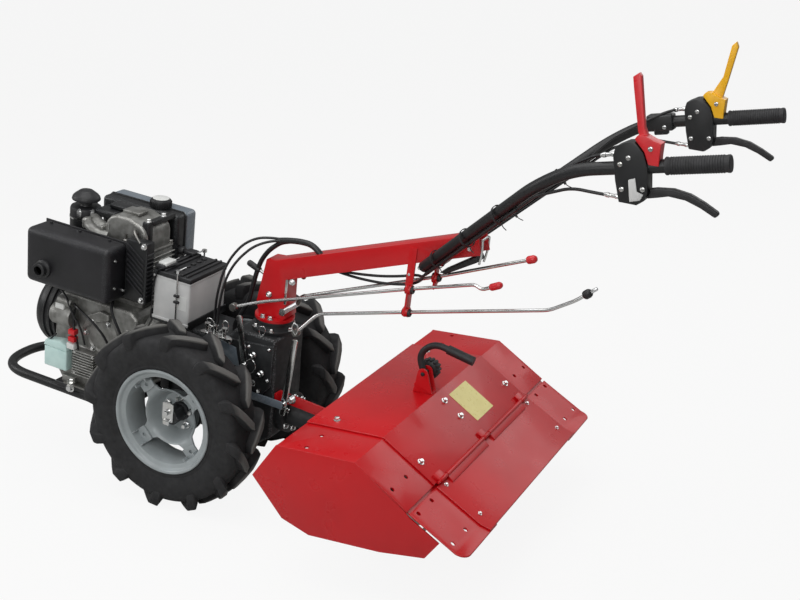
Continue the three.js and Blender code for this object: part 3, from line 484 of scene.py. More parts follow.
def endTree(tree, inputs, links):
    placed = addNode(tree, "GeometryNodeInstanceOnPoints", None, links).outputs[0]
    real = addNode(tree, "GeometryNodeRealizeInstances", None, {"Geometry": placed}).outputs[0]
    links = {"Geometry": real, "Material": inputs["Finish"]}
    coated = addNode(tree, "GeometryNodeSetMaterial", None, links).outputs[0]
    addNode(tree, "NodeGroupOutput", None, {"Geometry": coated})
    return tree


def boltTree():
    lengths = ("Head Width", "Head Height", "Washer Width", "Washer Height")
    tree, inputs = startTree("boltsOnPoints", {label: "NodeSocketFloat" for label in lengths})
    headWidth, headHeight, washerWidth, washerHeight = [inputs[label] for label in lengths]

    def disc(sides, width, height, foot, taper):
        radius = calculate(tree, "MULTIPLY", width, 0.5)
        top = calculate(tree, "MULTIPLY", radius, taper)
        links = {"Radius Bottom": radius, "Radius Top": top, "Depth": height}
        solid = addNode(tree, "GeometryNodeMeshCone", {"Vertices": sides}, links).outputs["Mesh"]
        lift = addNode(tree, "ShaderNodeCombineXYZ", None, {"Z": foot}).outputs[0]
        links = {"Geometry": solid, "Translation": lift}
        return addNode(tree, "GeometryNodeTransform", None, links).outputs[0]

    zero = calculate(tree, "MULTIPLY", washerHeight, 0.0)
    crown = calculate(tree, "MULTIPLY", headHeight, 0.25)
    crownFoot = calculate(tree, "ADD", washerHeight, headHeight)
    bolt = addNode(tree, "GeometryNodeJoinGeometry")
    for part in (
        disc(16, washerWidth, washerHeight, zero, 0.96),
        disc(6, headWidth, headHeight, washerHeight, 1.0),
        disc(6, headWidth, crown, crownFoot, 0.74),
    ):
        tree.links.new(part, bolt.inputs[0])
    outward = addNode(
        tree, "GeometryNodeInputNamedAttribute", {"data_type": "FLOAT_VECTOR", "Name": "facing"},
    )
    turn = addNode(
        tree, "FunctionNodeAlignRotationToVector", {"axis": "Z"}, {"Vector": outward.outputs[0]},
    )
    return endTree(tree, inputs, {
        "Points": inputs["Geometry"], "Instance": bolt.outputs[0], "Rotation": turn.outputs[0],
    })


def ringTree():
    kinds = {"Count": "Int", "Centre": "Vector", "Axis": "Vector", "Start": "Float"}
    tree, inputs = startTree(
        "aroundAxis", {label: f"NodeSocket{kind}" for label, kind in kinds.items()},
    )
    settings = {"operation": "SCALE", "Scale": -1.0}
    back = addNode(tree, "ShaderNodeVectorMath", settings, {0: inputs["Centre"]}).outputs[0]
    links = {"Geometry": inputs["Geometry"], "Translation": back}
    local = addNode(tree, "GeometryNodeTransform", None, links).outputs[0]
    links = {"Count": inputs["Count"], "Start Location": inputs["Centre"]}
    spots = addNode(tree, "GeometryNodeMeshLine", {"Offset": (0, 0, 0)}, links).outputs[0]
    index = addNode(tree, "GeometryNodeInputIndex").outputs[0]
    share = calculate(tree, "DIVIDE", index, inputs["Count"])
    angle = calculate(tree, "MULTIPLY_ADD", share, 2 * math.pi, inputs["Start"])
    links = {"Axis": inputs["Axis"], "Angle": angle}
    turn = addNode(tree, "FunctionNodeAxisAngleToRotation", None, links).outputs[0]
    return endTree(tree, inputs, {"Points": spots, "Instance": local, "Rotation": turn})


def rowTree():
    tree, inputs = startTree("alongLine", {"Count": "NodeSocketInt", "Step": "NodeSocketVector"})
    links = {"Count": inputs["Count"], "Offset": inputs["Step"]}
    spots = addNode(tree, "GeometryNodeMeshLine", None, links).outputs[0]
    return endTree(tree, inputs, {"Points": spots, "Instance": inputs["Geometry"]})


boltsOnPoints = boltTree()
aroundAxis = ringTree()
alongLine = rowTree()


def grow(name, shape, tree, values, finish, body, smooth=35):
    piece = linked(name, meshFrom(name, shape))
    modifier = piece.modifiers.new(tree.name, "NODES")
    modifier.node_group = tree
    values = {**values, "Finish": finishes[finish]}
    for item in tree.interface.items_tree:
        if item.in_out == "INPUT" and item.name in values:
            modifier[item.identifier] = values[item.name]
    made = evaluatedMesh(piece)
    piece.modifiers.clear()
    piece.data = made
    made.name = name
    settle(made, smooth)
    return attach(piece, body, ())


def inRow(name, shape, place, count, step, finish, body):
    values = {"Count": count, "Step": place.to_3x3() @ Vector(step)}
    grow(name, moved(shape, place), alongLine, values, finish, body)


def inRing(name, shape, place, count, centre, axis, start, finish, body, smooth=35):
    values = {"Count": count, "Centre": place @ Vector(centre), "Axis": axis, "Start": start}
    grow(name, moved(shape, place), aroundAxis, values, finish, body, smooth)


boltSizes = {
    "small": {
        "Head Width": 0.008, "Head Height": 0.0035, "Washer Width": 0.011, "Washer Height": 0.001,
    },
    "medium": {
        "Head Width": 0.013, "Head Height": 0.006, "Washer Width": 0.018, "Washer Height": 0.0016,
    },
    "large": {
        "Head Width": 0.019, "Head Height": 0.009, "Washer Width": 0.028, "Washer Height": 0.0025,
    },
    "nut": {"Head Width": 0.015, "Head Height": 0.012, "Washer Width": 0.02, "Washer Height": 0.0018},
}
boltPlaces = {}


def addBolts(size, body, place, spots, finish="zincPlate"):
    turn = place.to_3x3().normalized()
    boltPlaces.setdefault((size, body, finish), []).extend(
        (place @ Vector(spot), (turn @ Vector(way)).normalized()) for spot, way in spots
    )


def facing(way, spots):
    return [(spot, way) for spot in spots]


def bothFaces(x, spots):
    return [((side * x, y, z), (side, 0, 0)) for side in (1, -1) for y, z in spots]


def makeBolts():
    for (size, body, finish), places in boltPlaces.items():
        shape = bmesh.new()
        outward = shape.verts.layers.float_vector.new("facing")
        for spot, way in places:
            vert = shape.verts.new(spot)
            vert[outward] = way
        name = f"bolts_{size}_{body}" + ("" if finish == "zincPlate" else "_dark")
        grow(name, shape, boltsOnPoints, boltSizes[size], finish, body, 30)


# ---- wheels ----
wheel = {"track": 442, "discFace": -36, "lugs": 12, "sheet": 4.5}


def tyreCarcass():
    half = [
        (140, 48), (146, 50), (152, 52.5), (155, 53), (158, 52), (172, 57), (188, 60.5), (205, 60),
        (218, 57), (227, 51), (231, 42), (233, 22), (233.5, 0),
    ]
    return turned([*half, *[(r, -x) for r, x in half[-2::-1]]], sides=96, loop=True)


def tyreLug():
    # stations of one lug: outer edge [x, radius], inner edge [x, radius], turn in degrees, half width
    stations = [
        (60.5, 207, 53, 204, -1.0, 13), (63.3, 219, 51, 214, -0.5, 16), (63.4, 238, 46, 222, 0.5, 18.5),
        (60, 250.5, 42, 226, 2.0, 19.5), (44, 254.6, 36, 229, 6.0, 19.5),
        (24, 255.6, 22, 231, 11.5, 18.5), (6, 256, 6, 231, 16.5, 16.5), (-5, 255.6, -5, 231, 19.0, 13),
    ]
    shape = bmesh.new()
    rings = []
    for x, radius, innerX, innerRadius, degrees, half in stations:
        top, foot = (x, radius), (innerX, innerRadius)
        ring = []
        for across, (px, r) in ((-0.78, top), (0.78, top), (1.2, foot), (-1.2, foot)):
            turn = math.radians(90 - degrees) - across * half / r
            ring.append(shape.verts.new((px, r * math.cos(turn), r * math.sin(turn))))
        rings.append(ring)
    return roundEdges(capped(shape, rings), 2.2, 2, 40)


def rimBarrel():
    lip = [
        (139.6, 44), (140, 48.3), (144, 48.6), (146.5, 50.2), (147.4, 52.8), (146, 55), (142.8, 55.6),
        (139.6, 54.6), (137.2, 51.5), (136, 47.5), (133, 45), (127, 43.8), (123.6, 41.5), (121.6, 36),
        (120, 24),
    ]
    front = [(124.5, 24), *lip]
    back = [(r, -x) for r, x in reversed(lip)]
    return turned([*front, *back, (124.5, -24)], sides=96, loop=True)


def wheelDish():
    # rings of the pressed centre: [radius, x, how far the four arms reach beyond that radius]
    rings = [
        (27, -36, 0), (50, -36, 0), (54, -35, 0), (57, -31, 0), (63, -15, 0), (69, 2, 1), (73, 10, 3),
        (76, 15, 10), (78, 16, 39),
    ]
    sides = 96
    shape = bmesh.new()
    grid = []
    for radius, x, reach in rings:
        ring = []
        for i in range(sides):
            turn = 2 * math.pi * i / sides
            r = radius + reach * max(0, -math.cos(4 * turn)) ** 2.2
            ring.append(shape.verts.new((x, r * math.cos(turn), r * math.sin(turn))))
        grid.append(ring)
    skin(shape, grid)
    closed(shape)
    bmesh.ops.solidify(shape, geom=shape.faces[:], thickness=wheel["sheet"])
    return closed(shape)


def plateWithHole(halfWidth, halfHeight, hole, x0, x1):
    outside, inside = [], around(16, hole, math.pi / 16)
    for c, s in around(16, 1, math.pi / 16):
        stretch = 1 / max(abs(c) / halfWidth, abs(s) / halfHeight)
        outside.append((c * stretch, s * stretch))
    shape = bmesh.new()
    edges = ((outside, x0), (outside, x1), (inside, x1), (inside, x0))
    skin(shape, [[shape.verts.new((x, *spot)) for spot in edge] for edge, x in edges], True)
    return roundEdges(closed(shape), 1.0, 2, 50)


def wheelLugs():
    shape = []
    for k in range(4):
        turn = Matrix.Rotation(math.pi / 4 + k * math.pi / 2, 4, "X")
        plate = plateWithHole(22, 17, 5, 15.5, 21)
        shape.append(moved(plate, turn @ Matrix.Translation((0, 0, 107))))
        shape += [moved(roundedBox(17, 40, y, y + 4, 112, 122, 1, 1), turn) for y in (-22, 18)]
    return shape


def wheelHub():
    face = wheel["track"] / 2 + wheel["discFace"]
    return turned([
        (0, 122), (18, 122), (18, 152), (34, 152), (34, face - 22), (40, face - 15), (61, face - 14),
        (62, face - 13), (62, face - 1.3), (61, face - 0.3), (26.4, face - 0.3), (26.4, face + 8),
        (24, face + 9), (0, face + 9),
    ], sides=48)


def makeWheel(side, name):
    body = f"wheel_{name}"
    middle = wheel["track"] / 2
    face = middle + wheel["discFace"]
    out = Matrix.Translation((middle, 0, 0))
    tread = onSide(side, moved(tyreCarcass(), out))
    makePiece(f"tyre_{name}_tread", tread, tractor, "tyreRubber", body, [f"tyre_{name}"])
    centre = (side * middle, 0, 0)
    for row, turn in (("outer", 0.0), ("inner", math.pi / wheel["lugs"])):
        lug = tyreLug() if row == "outer" else mirrored(tyreLug())
        lug = onSide(side, moved(lug, out))
        rowName = f"tyre_{name}_lugs_{row}"
        inRing(rowName, lug, tractor, wheel["lugs"], centre, (1, 0, 0), turn, "tyreRubber", body, 40)
    pressed = onSide(side, moved(joined(rimBarrel(), wheelDish(), *wheelLugs()), out))
    makePiece(f"rim_{name}_pressed", pressed, tractor, "wheelEnamel", body, [f"rim_{name}"])
    hub = onSide(side, wheelHub())
    makePiece(f"hub_{name}_turned", hub, tractor, "castIronBlack", body, [f"wheel_hub_{name}"])
    nutEnd = 235
    nut = turned([(0, face + 9), (24, face + 9), (24, nutEnd), (0, nutEnd)], sides=6)
    nut = onSide(side, roundEdges(nut, 1.5, 2))
    makePiece(f"axle_nut_{name}", nut, tractor, "castIronBlack", body)
    pinAt = (0, -6, 14)
    cheek = moved(plateWithHole(17, 30, 6, 0, 4), Matrix.Translation((nutEnd + 0.3, *pinAt[1:])))
    pin = turned([(0, 228), (7, 228), (7, 248), (6, 249.5), (0, 249.5)], sides=20, at=pinAt)
    shackle = roundedBox(236, 246, -16, 4, -22, -8, 2, 2)
    makePiece(
        f"axle_clip_{name}", onSide(side, joined(cheek, pin, shackle)), tractor, "zincPlate", body,
    )
    spots = around(5, 41, 0.3)
    addBolts("nut", body, tractor, facing((side, 0, 0), [(side * (face + 5), y, z) for y, z in spots]))


for side, name in bothSides:
    makeWheel(side, name)
print("wheels ready")


# ---- gearbox and axle ----
gearbox = {"halfWidth": 72, "coverHeight": 6}


def axleHousing():
    return joined(
        turned([
            (0, 72.3), (55, 72.3), (56, 73.5), (56, 81), (55, 82.5), (48, 83), (43, 88), (42, 95),
            (42, 146), (41, 147), (18.6, 147), (18.6, 118), (0, 118),
        ], sides=48),
        roundedBox(82, 118, -3, 3, 38, 54, 1.2, 1),
    )


for side, name in bothSides:
    shape = onSide(side, axleHousing())
    fixed(f"axle_housing_{name}_cast", shape, "castIronBlack", f"axle_housing_{name}")
    addBolts(
        "small", "root", tractor,
        facing((side, 0, 0), [(side * 82.5, y, z) for y, z in around(6, 50.5, 0.5)]),
    )

recast("gearbox_casting", "gearbox_housing", "castIronBlack", 7, 3)


def gearboxTrim():
    w, high = gearbox["halfWidth"], gearbox["coverHeight"]
    plates = [
        # outline of a plate on the casting's side, its height and the width of its rounded edge
        ([(58, 196), (205, 212), (206, 96), (178, 60), (96, 60), (62, 96)], high, 2.5),
        ([(-146, 150), (-128, 168), (-118, 168), (-118, -30), (-146, -14)], 8, 2.5),
        ([(-60, -30), (150, -30), (160, -60), (130, -88), (-40, -88)], 7, 3),
        *[([(-110, z), (50, z + 4), (50, z + 10), (-110, z + 6)], 5, 2) for z in (128, 92)],
    ]
    return joined(*[roundEdges(prism(side, w - 2, w + rise), edge, 2) for side, rise, edge in plates])


for side, name in bothSides:
    fixed(f"gearbox_covers_{name}", onSide(side, gearboxTrim()), "castIronBlack")
    w = side * (gearbox["halfWidth"] + gearbox["coverHeight"])
    spots = [(72, 184), (130, 192), (192, 200), (194, 110), (170, 72), (104, 72), (74, 104)]
    addBolts("small", "root", tractor, facing((side, 0, 0), [(w, y, z) for y, z in spots]))
    spots = [(-40, -76), (30, -78), (110, -78), (140, -44)]
    addBolts("medium", "root", tractor, facing((side, 0, 0), [(w + side, y, z) for y, z in spots]))


def bellHousing():
    return turned([
        (0, -215), (88, -214.7), (95, -213), (95, -203), (90, -200), (84, -186), (86, -168), (95, -163),
        (95, -151), (88, -150.3), (0, -150.3),
    ], "y", 64, (0, 0, 90))


fixed("clutch_housing_cast", bellHousing(), "castAluminium", "clutch_housing")
addBolts(
    "small", "root", tractor, facing((0, -1, 0), [(x, -162, 90 + z) for x, z in around(8, 88.32, 0.2)]),
)


def gearLever(top, foot, pivot, inner, seat):
    width, thickness = 9, 6
    way = Vector((foot[0] - top[0], foot[1] - top[1])).normalized()
    side = Vector((-way.y, way.x)) * width
    foot, top = Vector(foot), Vector(top)
    outline = []
    for k in range(9):
        turn = math.pi * k / 8
        outline.append(foot - side * math.cos(turn) + way * width * math.sin(turn))
    for k in range(7):
        turn = math.pi * k / 6
        outline.append(top + side * 0.9 * math.cos(turn) - way * 0.6 * width * math.sin(turn))
    strap = roundEdges(prism([tuple(spot) for spot in outline], inner, inner + thickness), 1, 2, 50)
    boss = [(0, seat), (8, seat), (8, inner + 11), (7, inner + 12), (0, inner + 12)]
    return joined(strap, turned(boss, "x", 24, (0, *pivot)))


levers = {
    "front": {"top": (100, 272), "foot": (128, 140), "pivot": (128, 140), "inner": 86, "seat": 72.3},
    "rear": {"top": (264, 246), "foot": (247, 30), "pivot": (249, 56), "inner": 70, "seat": 44.6},
}
for name, lever in levers.items():
    fixed(f"gear_lever_{name}_strap", gearLever(**lever), "zincPlate", f"gear_lever_{name}")


def wireLoop(x, y, z, tilt):
    loop = [(0, 0, 0), (0, -9, 10), (0, -11, 24), (0, -2, 34), (0, 8, 26), (0, 7, 12), (0, 1, 1)]
    turn = Matrix.Translation((x, y, z)) @ Matrix.Rotation(tilt, 4, "X")
    return moved(tube(loop, 1.3, 8, 8, 4), turn)


# latch plate, linkage and clips between the battery and the column
latch = roundEdges(
    prism([(96, -16), (103, -8), (100, 70), (90, 84), (78, 80), (76, -10)], 198, 203, "z"), 1.2, 2,
)
posts = [
    turned([(0, 203), (5, 203), (5, 222), (8, 223), (8, 228), (0, 229)], "z", 16, (90, y, 0))
    for y in (4, 30, 58)
]
arms = [roundedBox(76, 96, y, y + 7, 212, 217, 1.5, 2) for y in (10, 40)]
fixed("latch_plate", joined(latch, *posts, *arms), "zincPlate")
clips = [wireLoop(88, 66, 218, 0.3), wireLoop(86, 168, 234, -0.2), wireLoop(92, 30, 224, 1.0)]
clips += [
    tube(
        [(90, 128, 150), (94, 150, 170), (94, 168, 150), (92, 150, 120), (90, 120, 130)], 1.6, 8, 14, 4,
    ),
]
fixed("spring_clips", joined(*clips), "zincPlate")
addBolts("nut", "root", tractor, [
    ((86, 150, 176), (1, 0, 0)), ((82, 176, 128), (1, 0, 0)), ((80, 152, 92), (1, 0, 0)),
    ((80, 108, 100), (1, 0, 0)),
])
sidePlate = roundEdges(prism([(14, 192), (92, 178), (106, 128), (60, 120), (20, 142)], 79, 83), 1, 2)
rail = roundedBox(79, 84, 118, 250, 44, 66, 1.5, 2)
fixed("side_plates", joined(sidePlate, rail), "tankEnamel")
print("gearbox ready")


# ---- engine ----
recast("crankcase_casting", "crankcase", "castAluminium", 7, 3)


def crankcaseTrim():
    w = 105
    gearCover = turned(
        [(0, w - 3), (58, w - 3), (60, w + 2), (58, w + 8), (46, w + 10), (42, w + 6), (0, w + 6)], "x",
        48, (0, -330, 92),
    )
    pump = roundEdges(
        prism(
            [(-392, 100), (-372, 150), (-330, 172), (-300, 168), (-300, 150), (-348, 132)], w - 2,
            w + 16,
        ),
        4, 2,
    )
    plug = turned(
        [(0, w - 2), (20, w - 2), (20, w + 14), (16, w + 18), (0, w + 18)], "x", 32, (0, -268, -10),
    )
    starter = turned(
        [(0, -486), (30, -486), (33, -480), (33, -424), (30, -418), (22, -416), (0, -416)], "y", 36,
        (118, 0, 128),
    )
    solenoid = turned(
        [(0, -470), (15, -470), (17, -466), (17, -420), (0, -420)], "y", 28, (122, 0, 168),
    )
    feet = [roundedBox(60, w + 14, y, y + 46, -84, -62, 3, 2) for y in (-460, -290)]
    bands = [roundedBox(w - 2, w + 4, -250, -226, z, z + 6, 1.5, 1) for z in range(-30, 150, 20)]
    return joined(gearCover, pump, plug, starter, solenoid, *feet, *bands)


fixed("crankcase_fittings", crankcaseTrim(), "castAluminium")


fin = roundedBox(103, 136, -412, -336, -40, -36.5, 0.8, 1)
inRow("cooler_fins", fin, tractor, 10, (0, 0, 8.2), "castAluminium", "root")


def regulatorBox():
    lower = roundedBox(105.3, 134, -513, -433, -42, 20, 4, 3)
    lid = roundEdges(
        prism([(-515, 20.5), (-431, 20.5), (-435, 38), (-455, 48), (-509, 38)], 104.5, 135), 2.5, 2,
    )
    return joined(lower, lid)


fixed("regulator_box_moulded", regulatorBox(), "mintPlastic", "regulator_box")
wires = [
    tube(
        [(112, -420, 160), (134, -412, 140), (140, -402, 96), (132, -396, 60), (124, -400, 30)], 3.4,
        10, 20, 6,
    ),
    tube(
        [(116, -470, 196), (132, -440, 190), (142, -410, 150), (138, -380, 110), (130, -372, 60)], 3.0,
        10, 20, 6,
    ),
    tube(
        [(124, -418, 170), (146, -390, 176), (146, -340, 150), (132, -306, 110), (118, -290, 60)], 3.6,
        10, 24, 6,
    ),
    tube([(100, -300, 220), (126, -290, 190), (132, -262, 150), (120, -240, 96)], 4.2, 10, 24, 6),
    tube([(118, -496, -6), (128, -512, -8), (132, -508, 26), (122, -480, 60)], 2.6, 8, 14, 5),
]
fixed("engine_wiring", joined(*wires), "cableCover")
plugs = [roundedBox(128, 148, -418, -396, z, z + 15, 2, 2) for z in (86, 64)]
fixed("red_connectors", joined(*plugs), "redNylon")
fixed("pale_connectors", joined(
    roundedBox(126, 146, -424, -398, 40, 58, 2, 2), roundedBox(124, 142, -470, -440, 150, 166, 2, 2),
), "blankPale")
addBolts(
    "medium", "root", tractor, facing((1, 0, 0), [(113, -330 + y, 92 + z) for y, z in around(6, 50)]),
)
addBolts(
    "small", "root", tractor, facing((1, 0, 0), [(130, y, z) for y in (-404, -342) for z in (-34, 30)]),
)

finShape = roundedBox(-71, 71, -389, -225, 204, 208, 1, 1)
recast("cylinder_casting", "cylinder_block", "castAluminium", 4, 2)
inRow("cylinder_fins", finShape, tractor, 11, (0, 0, 12.5), "castAluminium", "root")


rockerEnd = [
    (-373, 345.3), (-233, 345.3), (-233, 398), (-239, 414), (-251, 424), (-269, 430), (-293, 438),
    (-335, 438), (-355, 430), (-367, 416), (-373, 398),
]


cover = roundEdges(prism(rockerEnd, -58, 58), 7, 3, 40)
fixed("rocker_cover_cast", cover, "castAluminium", "rocker_cover", smooth=50)
fixed("rocker_cover_flange", joined(
    roundedBox(-64, 64, -379, -227, 346, 354, 2, 2),
    roundedBox(-22, 22, -341, -285, 437, 446, 3, 2),
    *[roundedBox(44, 60, y, y + 12, 352, 408, 3, 2) for y in (-369, -249)],
), "castAluminium")
addBolts("medium", "root", tractor, [
    ((x, y, 354), (0, 0, 1)) for x in (-60, 60) for y in (-371, -303, -235)
], "bareSteel")
intake = tube([(30, -378, 372), (34, -404, 380), (24, -430, 386), (8, -450, 388)], 19, 24, 26, 8)
neck = tube([(56, -363, 372), (70, -392, 376), (60, -424, 384), (36, -452, 388)], 13, 20, 24, 8)
fixed("intake_casting", joined(
    intake, neck, roundedBox(10, 68, -385, -373, 350, 398, 4, 2),
    roundedBox(30, 60, -452, -436, 372, 402, 6, 3),
), "castAluminium", smooth=50)
injector = [
    turned([(0, 354), (9, 354), (9, 392), (6, 396), (6, 410), (0, 410)], "z", 20, (66, -262, 0)),
    turned([(0, 354), (7, 354), (7, 380), (4, 384), (4, 398), (0, 398)], "z", 18, (68, -292, 0)),
    tube(
        [(66, -262, 400), (68, -262, 418), (84, -254, 424), (96, -238, 412), (98, -222, 396)], 3.2, 10,
        16, 6,
    ),
]
fixed("injector_parts", joined(*injector), "bareSteel")


def fanHousing():
    rings = [
        (0, -500.3), (110, -500.3), (110, -506), (105, -508), (105, -517), (110, -519), (110, -528),
        (105, -530), (105, -539), (109, -541), (109, -556), (103, -567), (96, -576), (84, -578),
        (76, -580), (72, -588), (66, -594), (56, -598), (0, -598),
    ]
    return turned(rings, "y", 96, (0, 0, 90))


fixed("fan_housing_pressed", fanHousing(), "blackEnamel", "fan_housing")
fixed("fan_bands", joined(*[
    turned(
        [(r - 4, y), (r, y), (r + 1.2, y - 1.2), (r, y - 2.4), (r - 4, y - 2.4)], "y", 96, (0, 0, 90),
        True,
    )
    for r, y in ((109, -505), (109, -524), (108, -543))
]), "bareSteel")
fixed("recoil_boss", joined(
    turned([(0, -597), (30, -597), (32, -600), (30, -604), (0, -604)], "y", 48, (0, 0, 90)),
), "castAluminium")


bumper = {"halfWidth": 112, "rear": -222, "front": -700, "tube": 14, "bend": 108, "bite": 2}
mountPlate = {"halfWidth": 126, "bottom": -97.3, "top": -85.3}


def engineFrame():
    w, bottom = mountPlate["halfWidth"], mountPlate["bottom"]
    plate = roundedBox(-w, w, -480, -225, bottom, mountPlate["top"], 2, 2)
    x, z = bumper["halfWidth"], bottom - bumper["tube"] + bumper["bite"]
    loop = [
        (x, bumper["rear"], z), (x, bumper["front"], z), (-x, bumper["front"], z),
        (-x, bumper["rear"], z),
    ]
    return joined(plate, tube(loop, bumper["tube"], 28, bumper["bend"], 14))


fixed("engine_frame_tube", engineFrame(), "blackEnamel", "engine_frame", smooth=50)
rails = [roundedBox(x - 16, x + 16, -447, -269, -85, -79, 1.5, 2) for x in (112, -112)]
fixed("mount_rails", joined(*rails), "bareSteel")
addBolts(
    "large", "root", tractor,
    facing((0, 0, 1), [(x, y, -79) for x in (118, -118) for y in (-425, -293)]),
)
addBolts("large", "root", tractor, [((126.5, -420, -91), (1, 0, 0))])


# ---- silencer ----
silencer = {
    "inner": 74, "outer": 172, "front": -553, "rear": -270, "bottom": 220, "top": 379,
    "pipe": (-487, 272),
}


def silencerShell():
    s = silencer
    pan = roundedBox(
        s["inner"] + 6, s["outer"], s["front"], s["rear"] - 1, s["bottom"], s["top"], 17, 6,
    )
    back = roundEdges(
        slab(s["inner"], s["inner"] + 9, s["front"], s["rear"], s["bottom"] + 2, s["top"] - 2), 4, 2,
    )
    seam = roundEdges(
        slab(
            s["inner"] + 7, s["inner"] + 10, s["front"] - 3, s["rear"] + 2, s["bottom"] - 2,
            s["top"] + 2,
        ),
        1.4, 2,
    )
    port = roundedBox(66.3, 80, -370, -320, 290, 335, 3, 2)
    return joined(pan, back, seam, port)


fixed("silencer_shell", silencerShell(), "stoveBlack", "muffler", smooth=50)
pipeAt = (0, *silencer["pipe"])
boot = joined(
    turned(
        [(0, 163), (26, 163), (27, 169), (25, 177), (18, 181), (17, 185), (0, 185)], "x", 48, pipeAt,
    ),
    turned(
        [(13, 183), (19, 183), (20.5, 185), (20.5, 194), (19, 196), (13, 196)], "x", 48, pipeAt, True,
    ),
    turned([(0, 177), (13.2, 177), (13.2, 185), (0, 185)], "x", 32, pipeAt),
)
fixed("tail_pipe_boot", boot, "blackNylon")
addBolts(
    "small", "root", tractor, [((104, y, 378.6), (0, 0, 1)) for y in (-520, -420, -318)], "blackEnamel",
)
addBolts(
    "small", "root", tractor,
    facing((0, 1, 0), [(x, -271.4, z) for x, z in ((138, 342), (138, 262), (100, 246))]),
)


# ---- shroud beside the cylinder, with its slanted slots ----
recast("cylinder_shroud_pressed", "cylinder_shroud", "blackEnamel", 3, 2)
slat = roundEdges(prism([(-260, 282), (-260, 288), (-204, 250), (-204, 244)], 99, 103.5), 1.2, 2)
inRow("shroud_slats", slat, tractor, 8, (0, 0, 14.5), "stoveBlack", "root")
slatRear = roundedBox(68, 98, -196.6, -192.8, 246, 250, 0.8, 1)
inRow("shroud_slats_rear", slatRear, tractor, 11, (0, 0, 12), "stoveBlack", "root")
addBolts("medium", "root", tractor, [((100.5, -206, 391), (1, 0, 0)), ((100.5, -208, 234), (1, 0, 0))])


# ---- air cleaner ----
def airCleaner():
    return joined(
        turned([
            (0, 300), (38, 300), (42, 302), (44, 307), (44, 350), (42.8, 352), (44, 354), (44, 408),
            (42, 414), (36, 416), (18, 417), (17, 419), (17, 434), (0, 434),
        ], "z", 64, (0, -485, 0)),
        turned([
            (0, 431), (17, 431), (36, 433), (39.4, 434.5), (40, 437), (38, 444), (32, 450.5),
            (19.5, 460), (18, 461), (0, 461),
        ], "z", 64, (0, -485, 0)),
    )


fixed("air_cleaner_canister", airCleaner(), "blackNylon", "air_filter", smooth=45)
clip = joined(
    roundedBox(43.4, 48, -7, 7, 386, 412, 1.5, 2), roundedBox(36, 46, -5, 5, 411, 416.5, 1.5, 2),
)
clips = [
    moved(clip.copy(), Matrix.Translation((0, -485, 0)) @ Matrix.Rotation(math.radians(a), 4, "Z"))
    for a in (15, 62, 180)
]
clip.free()
fixed("air_cleaner_clips", joined(
    *clips, turned([(43.5, 382), (45.2, 382), (45.2, 387), (43.5, 387)], "z", 64, (0, -485, 0), True),
), "zincPlate")
fixed("air_cleaner_bracket", joined(
    roundedBox(-34, 12, -446, -378, 398, 420, 7, 3), roundedBox(-56, -20, -420, -300, 420, 434, 5, 3),
), "blackEnamel")


# ---- fuel tank ----
tank = {"inner": 74, "outer": 170, "seam": 113, "front": -488, "rear": -224, "bottom": 296, "top": 430}
capAt = (-110, -309, 0)


def tankHalf(x0, x1):
    t = tank
    return roundedBox(x0, x1, t["front"], t["rear"], t["bottom"], t["top"], 13, 5)


fixed("fuel_tank_near", tankHalf(-tank["seam"] - 12, -tank["inner"]), "blackEnamel", smooth=50)
fixed("fuel_tank_far", joined(
    tankHalf(-tank["outer"], -tank["seam"]), roundedBox(-104, -80, -350, -250, 190.3, 310, 3, 2),
), "tankEnamel", "fuel_tank", smooth=50)
seam = prism([
    (tank["front"] + 8, 293), (tank["rear"] - 8, 293), (tank["rear"] + 3, 304), (tank["rear"] + 3, 422),
    (tank["rear"] - 8, 433), (tank["front"] + 8, 433), (tank["front"] - 3, 422),
    (tank["front"] - 3, 304),
], -tank["seam"] - 2.5, -tank["seam"] + 2.5)
fixed("fuel_tank_seam", roundEdges(seam, 1.2, 2), "blackEnamel")
fixed("fuel_cap_moulded", turned([
    (0, 430.3), (29, 430.3), (30, 432), (30, 449), (28.5, 452), (26, 453), (25, 455.5), (0, 456),
], "z", 64, capAt), "blackNylon", "fuel_cap")
fixed(
    "fuel_cap_lid", turned([(0, 454), (23.5, 454), (23.5, 456.5), (22, 457), (0, 457)], "z", 64, capAt),
    "blankPale",
)
ridge = roundedBox(-111.2, -108.8, -280.5, -277.5, 432, 449, 0.6, 1)
inRing("fuel_cap_ribs", ridge, tractor, 28, capAt, upright, 0.0, "blackNylon", "root")
fixed("fuel_tap", joined(
    turned(
        [(0, -225), (12, -225), (13, -222), (13, -210), (11, -207), (0, -206)], "y", 32, (-92, 0, 326),
    ),
    turned([(0, -226), (6, -226), (6, -198), (0, -198)], "y", 16, (-92, 0, 326)),
), "blackNylon")
straps = [roundedBox(-75, -55, y, y + 22, 346, 410, 3, 2) for y in (-460, -300)]
fixed("tank_brackets", joined(
    *straps, roundedBox(-76, 40, -252, -232, 424, 438, 4, 2),
    roundedBox(26, 50, -254, -232, 380, 438, 4, 2),
), "blackEnamel")
addBolts("medium", "root", tractor, [((38, -242, 438), (0, 0, 1)), ((-30, -242, 438), (0, 0, 1))])
print("engine ready")


# ---- battery ----
battery = {"halfWidth": 87, "front": -179, "rear": -61, "bottom": 190, "bodyTop": 318, "lidTop": 338}


def batteryBody():
    b = battery
    w = b["halfWidth"]
    body = roundedBox(-w, w, b["front"], b["rear"], b["bottom"], b["bodyTop"], 5, 4)
    foot = roundedBox(
        -w - 1.5, w + 1.5, b["front"] - 1.5, b["rear"] + 1.5, b["bottom"], b["bottom"] + 9, 2, 2,
    )
    collar = roundedBox(
        -w - 1, w + 1, b["front"] - 1, b["rear"] + 1, b["bodyTop"] - 6, b["bodyTop"], 1.5, 2,
    )
    return joined(body, foot, collar)


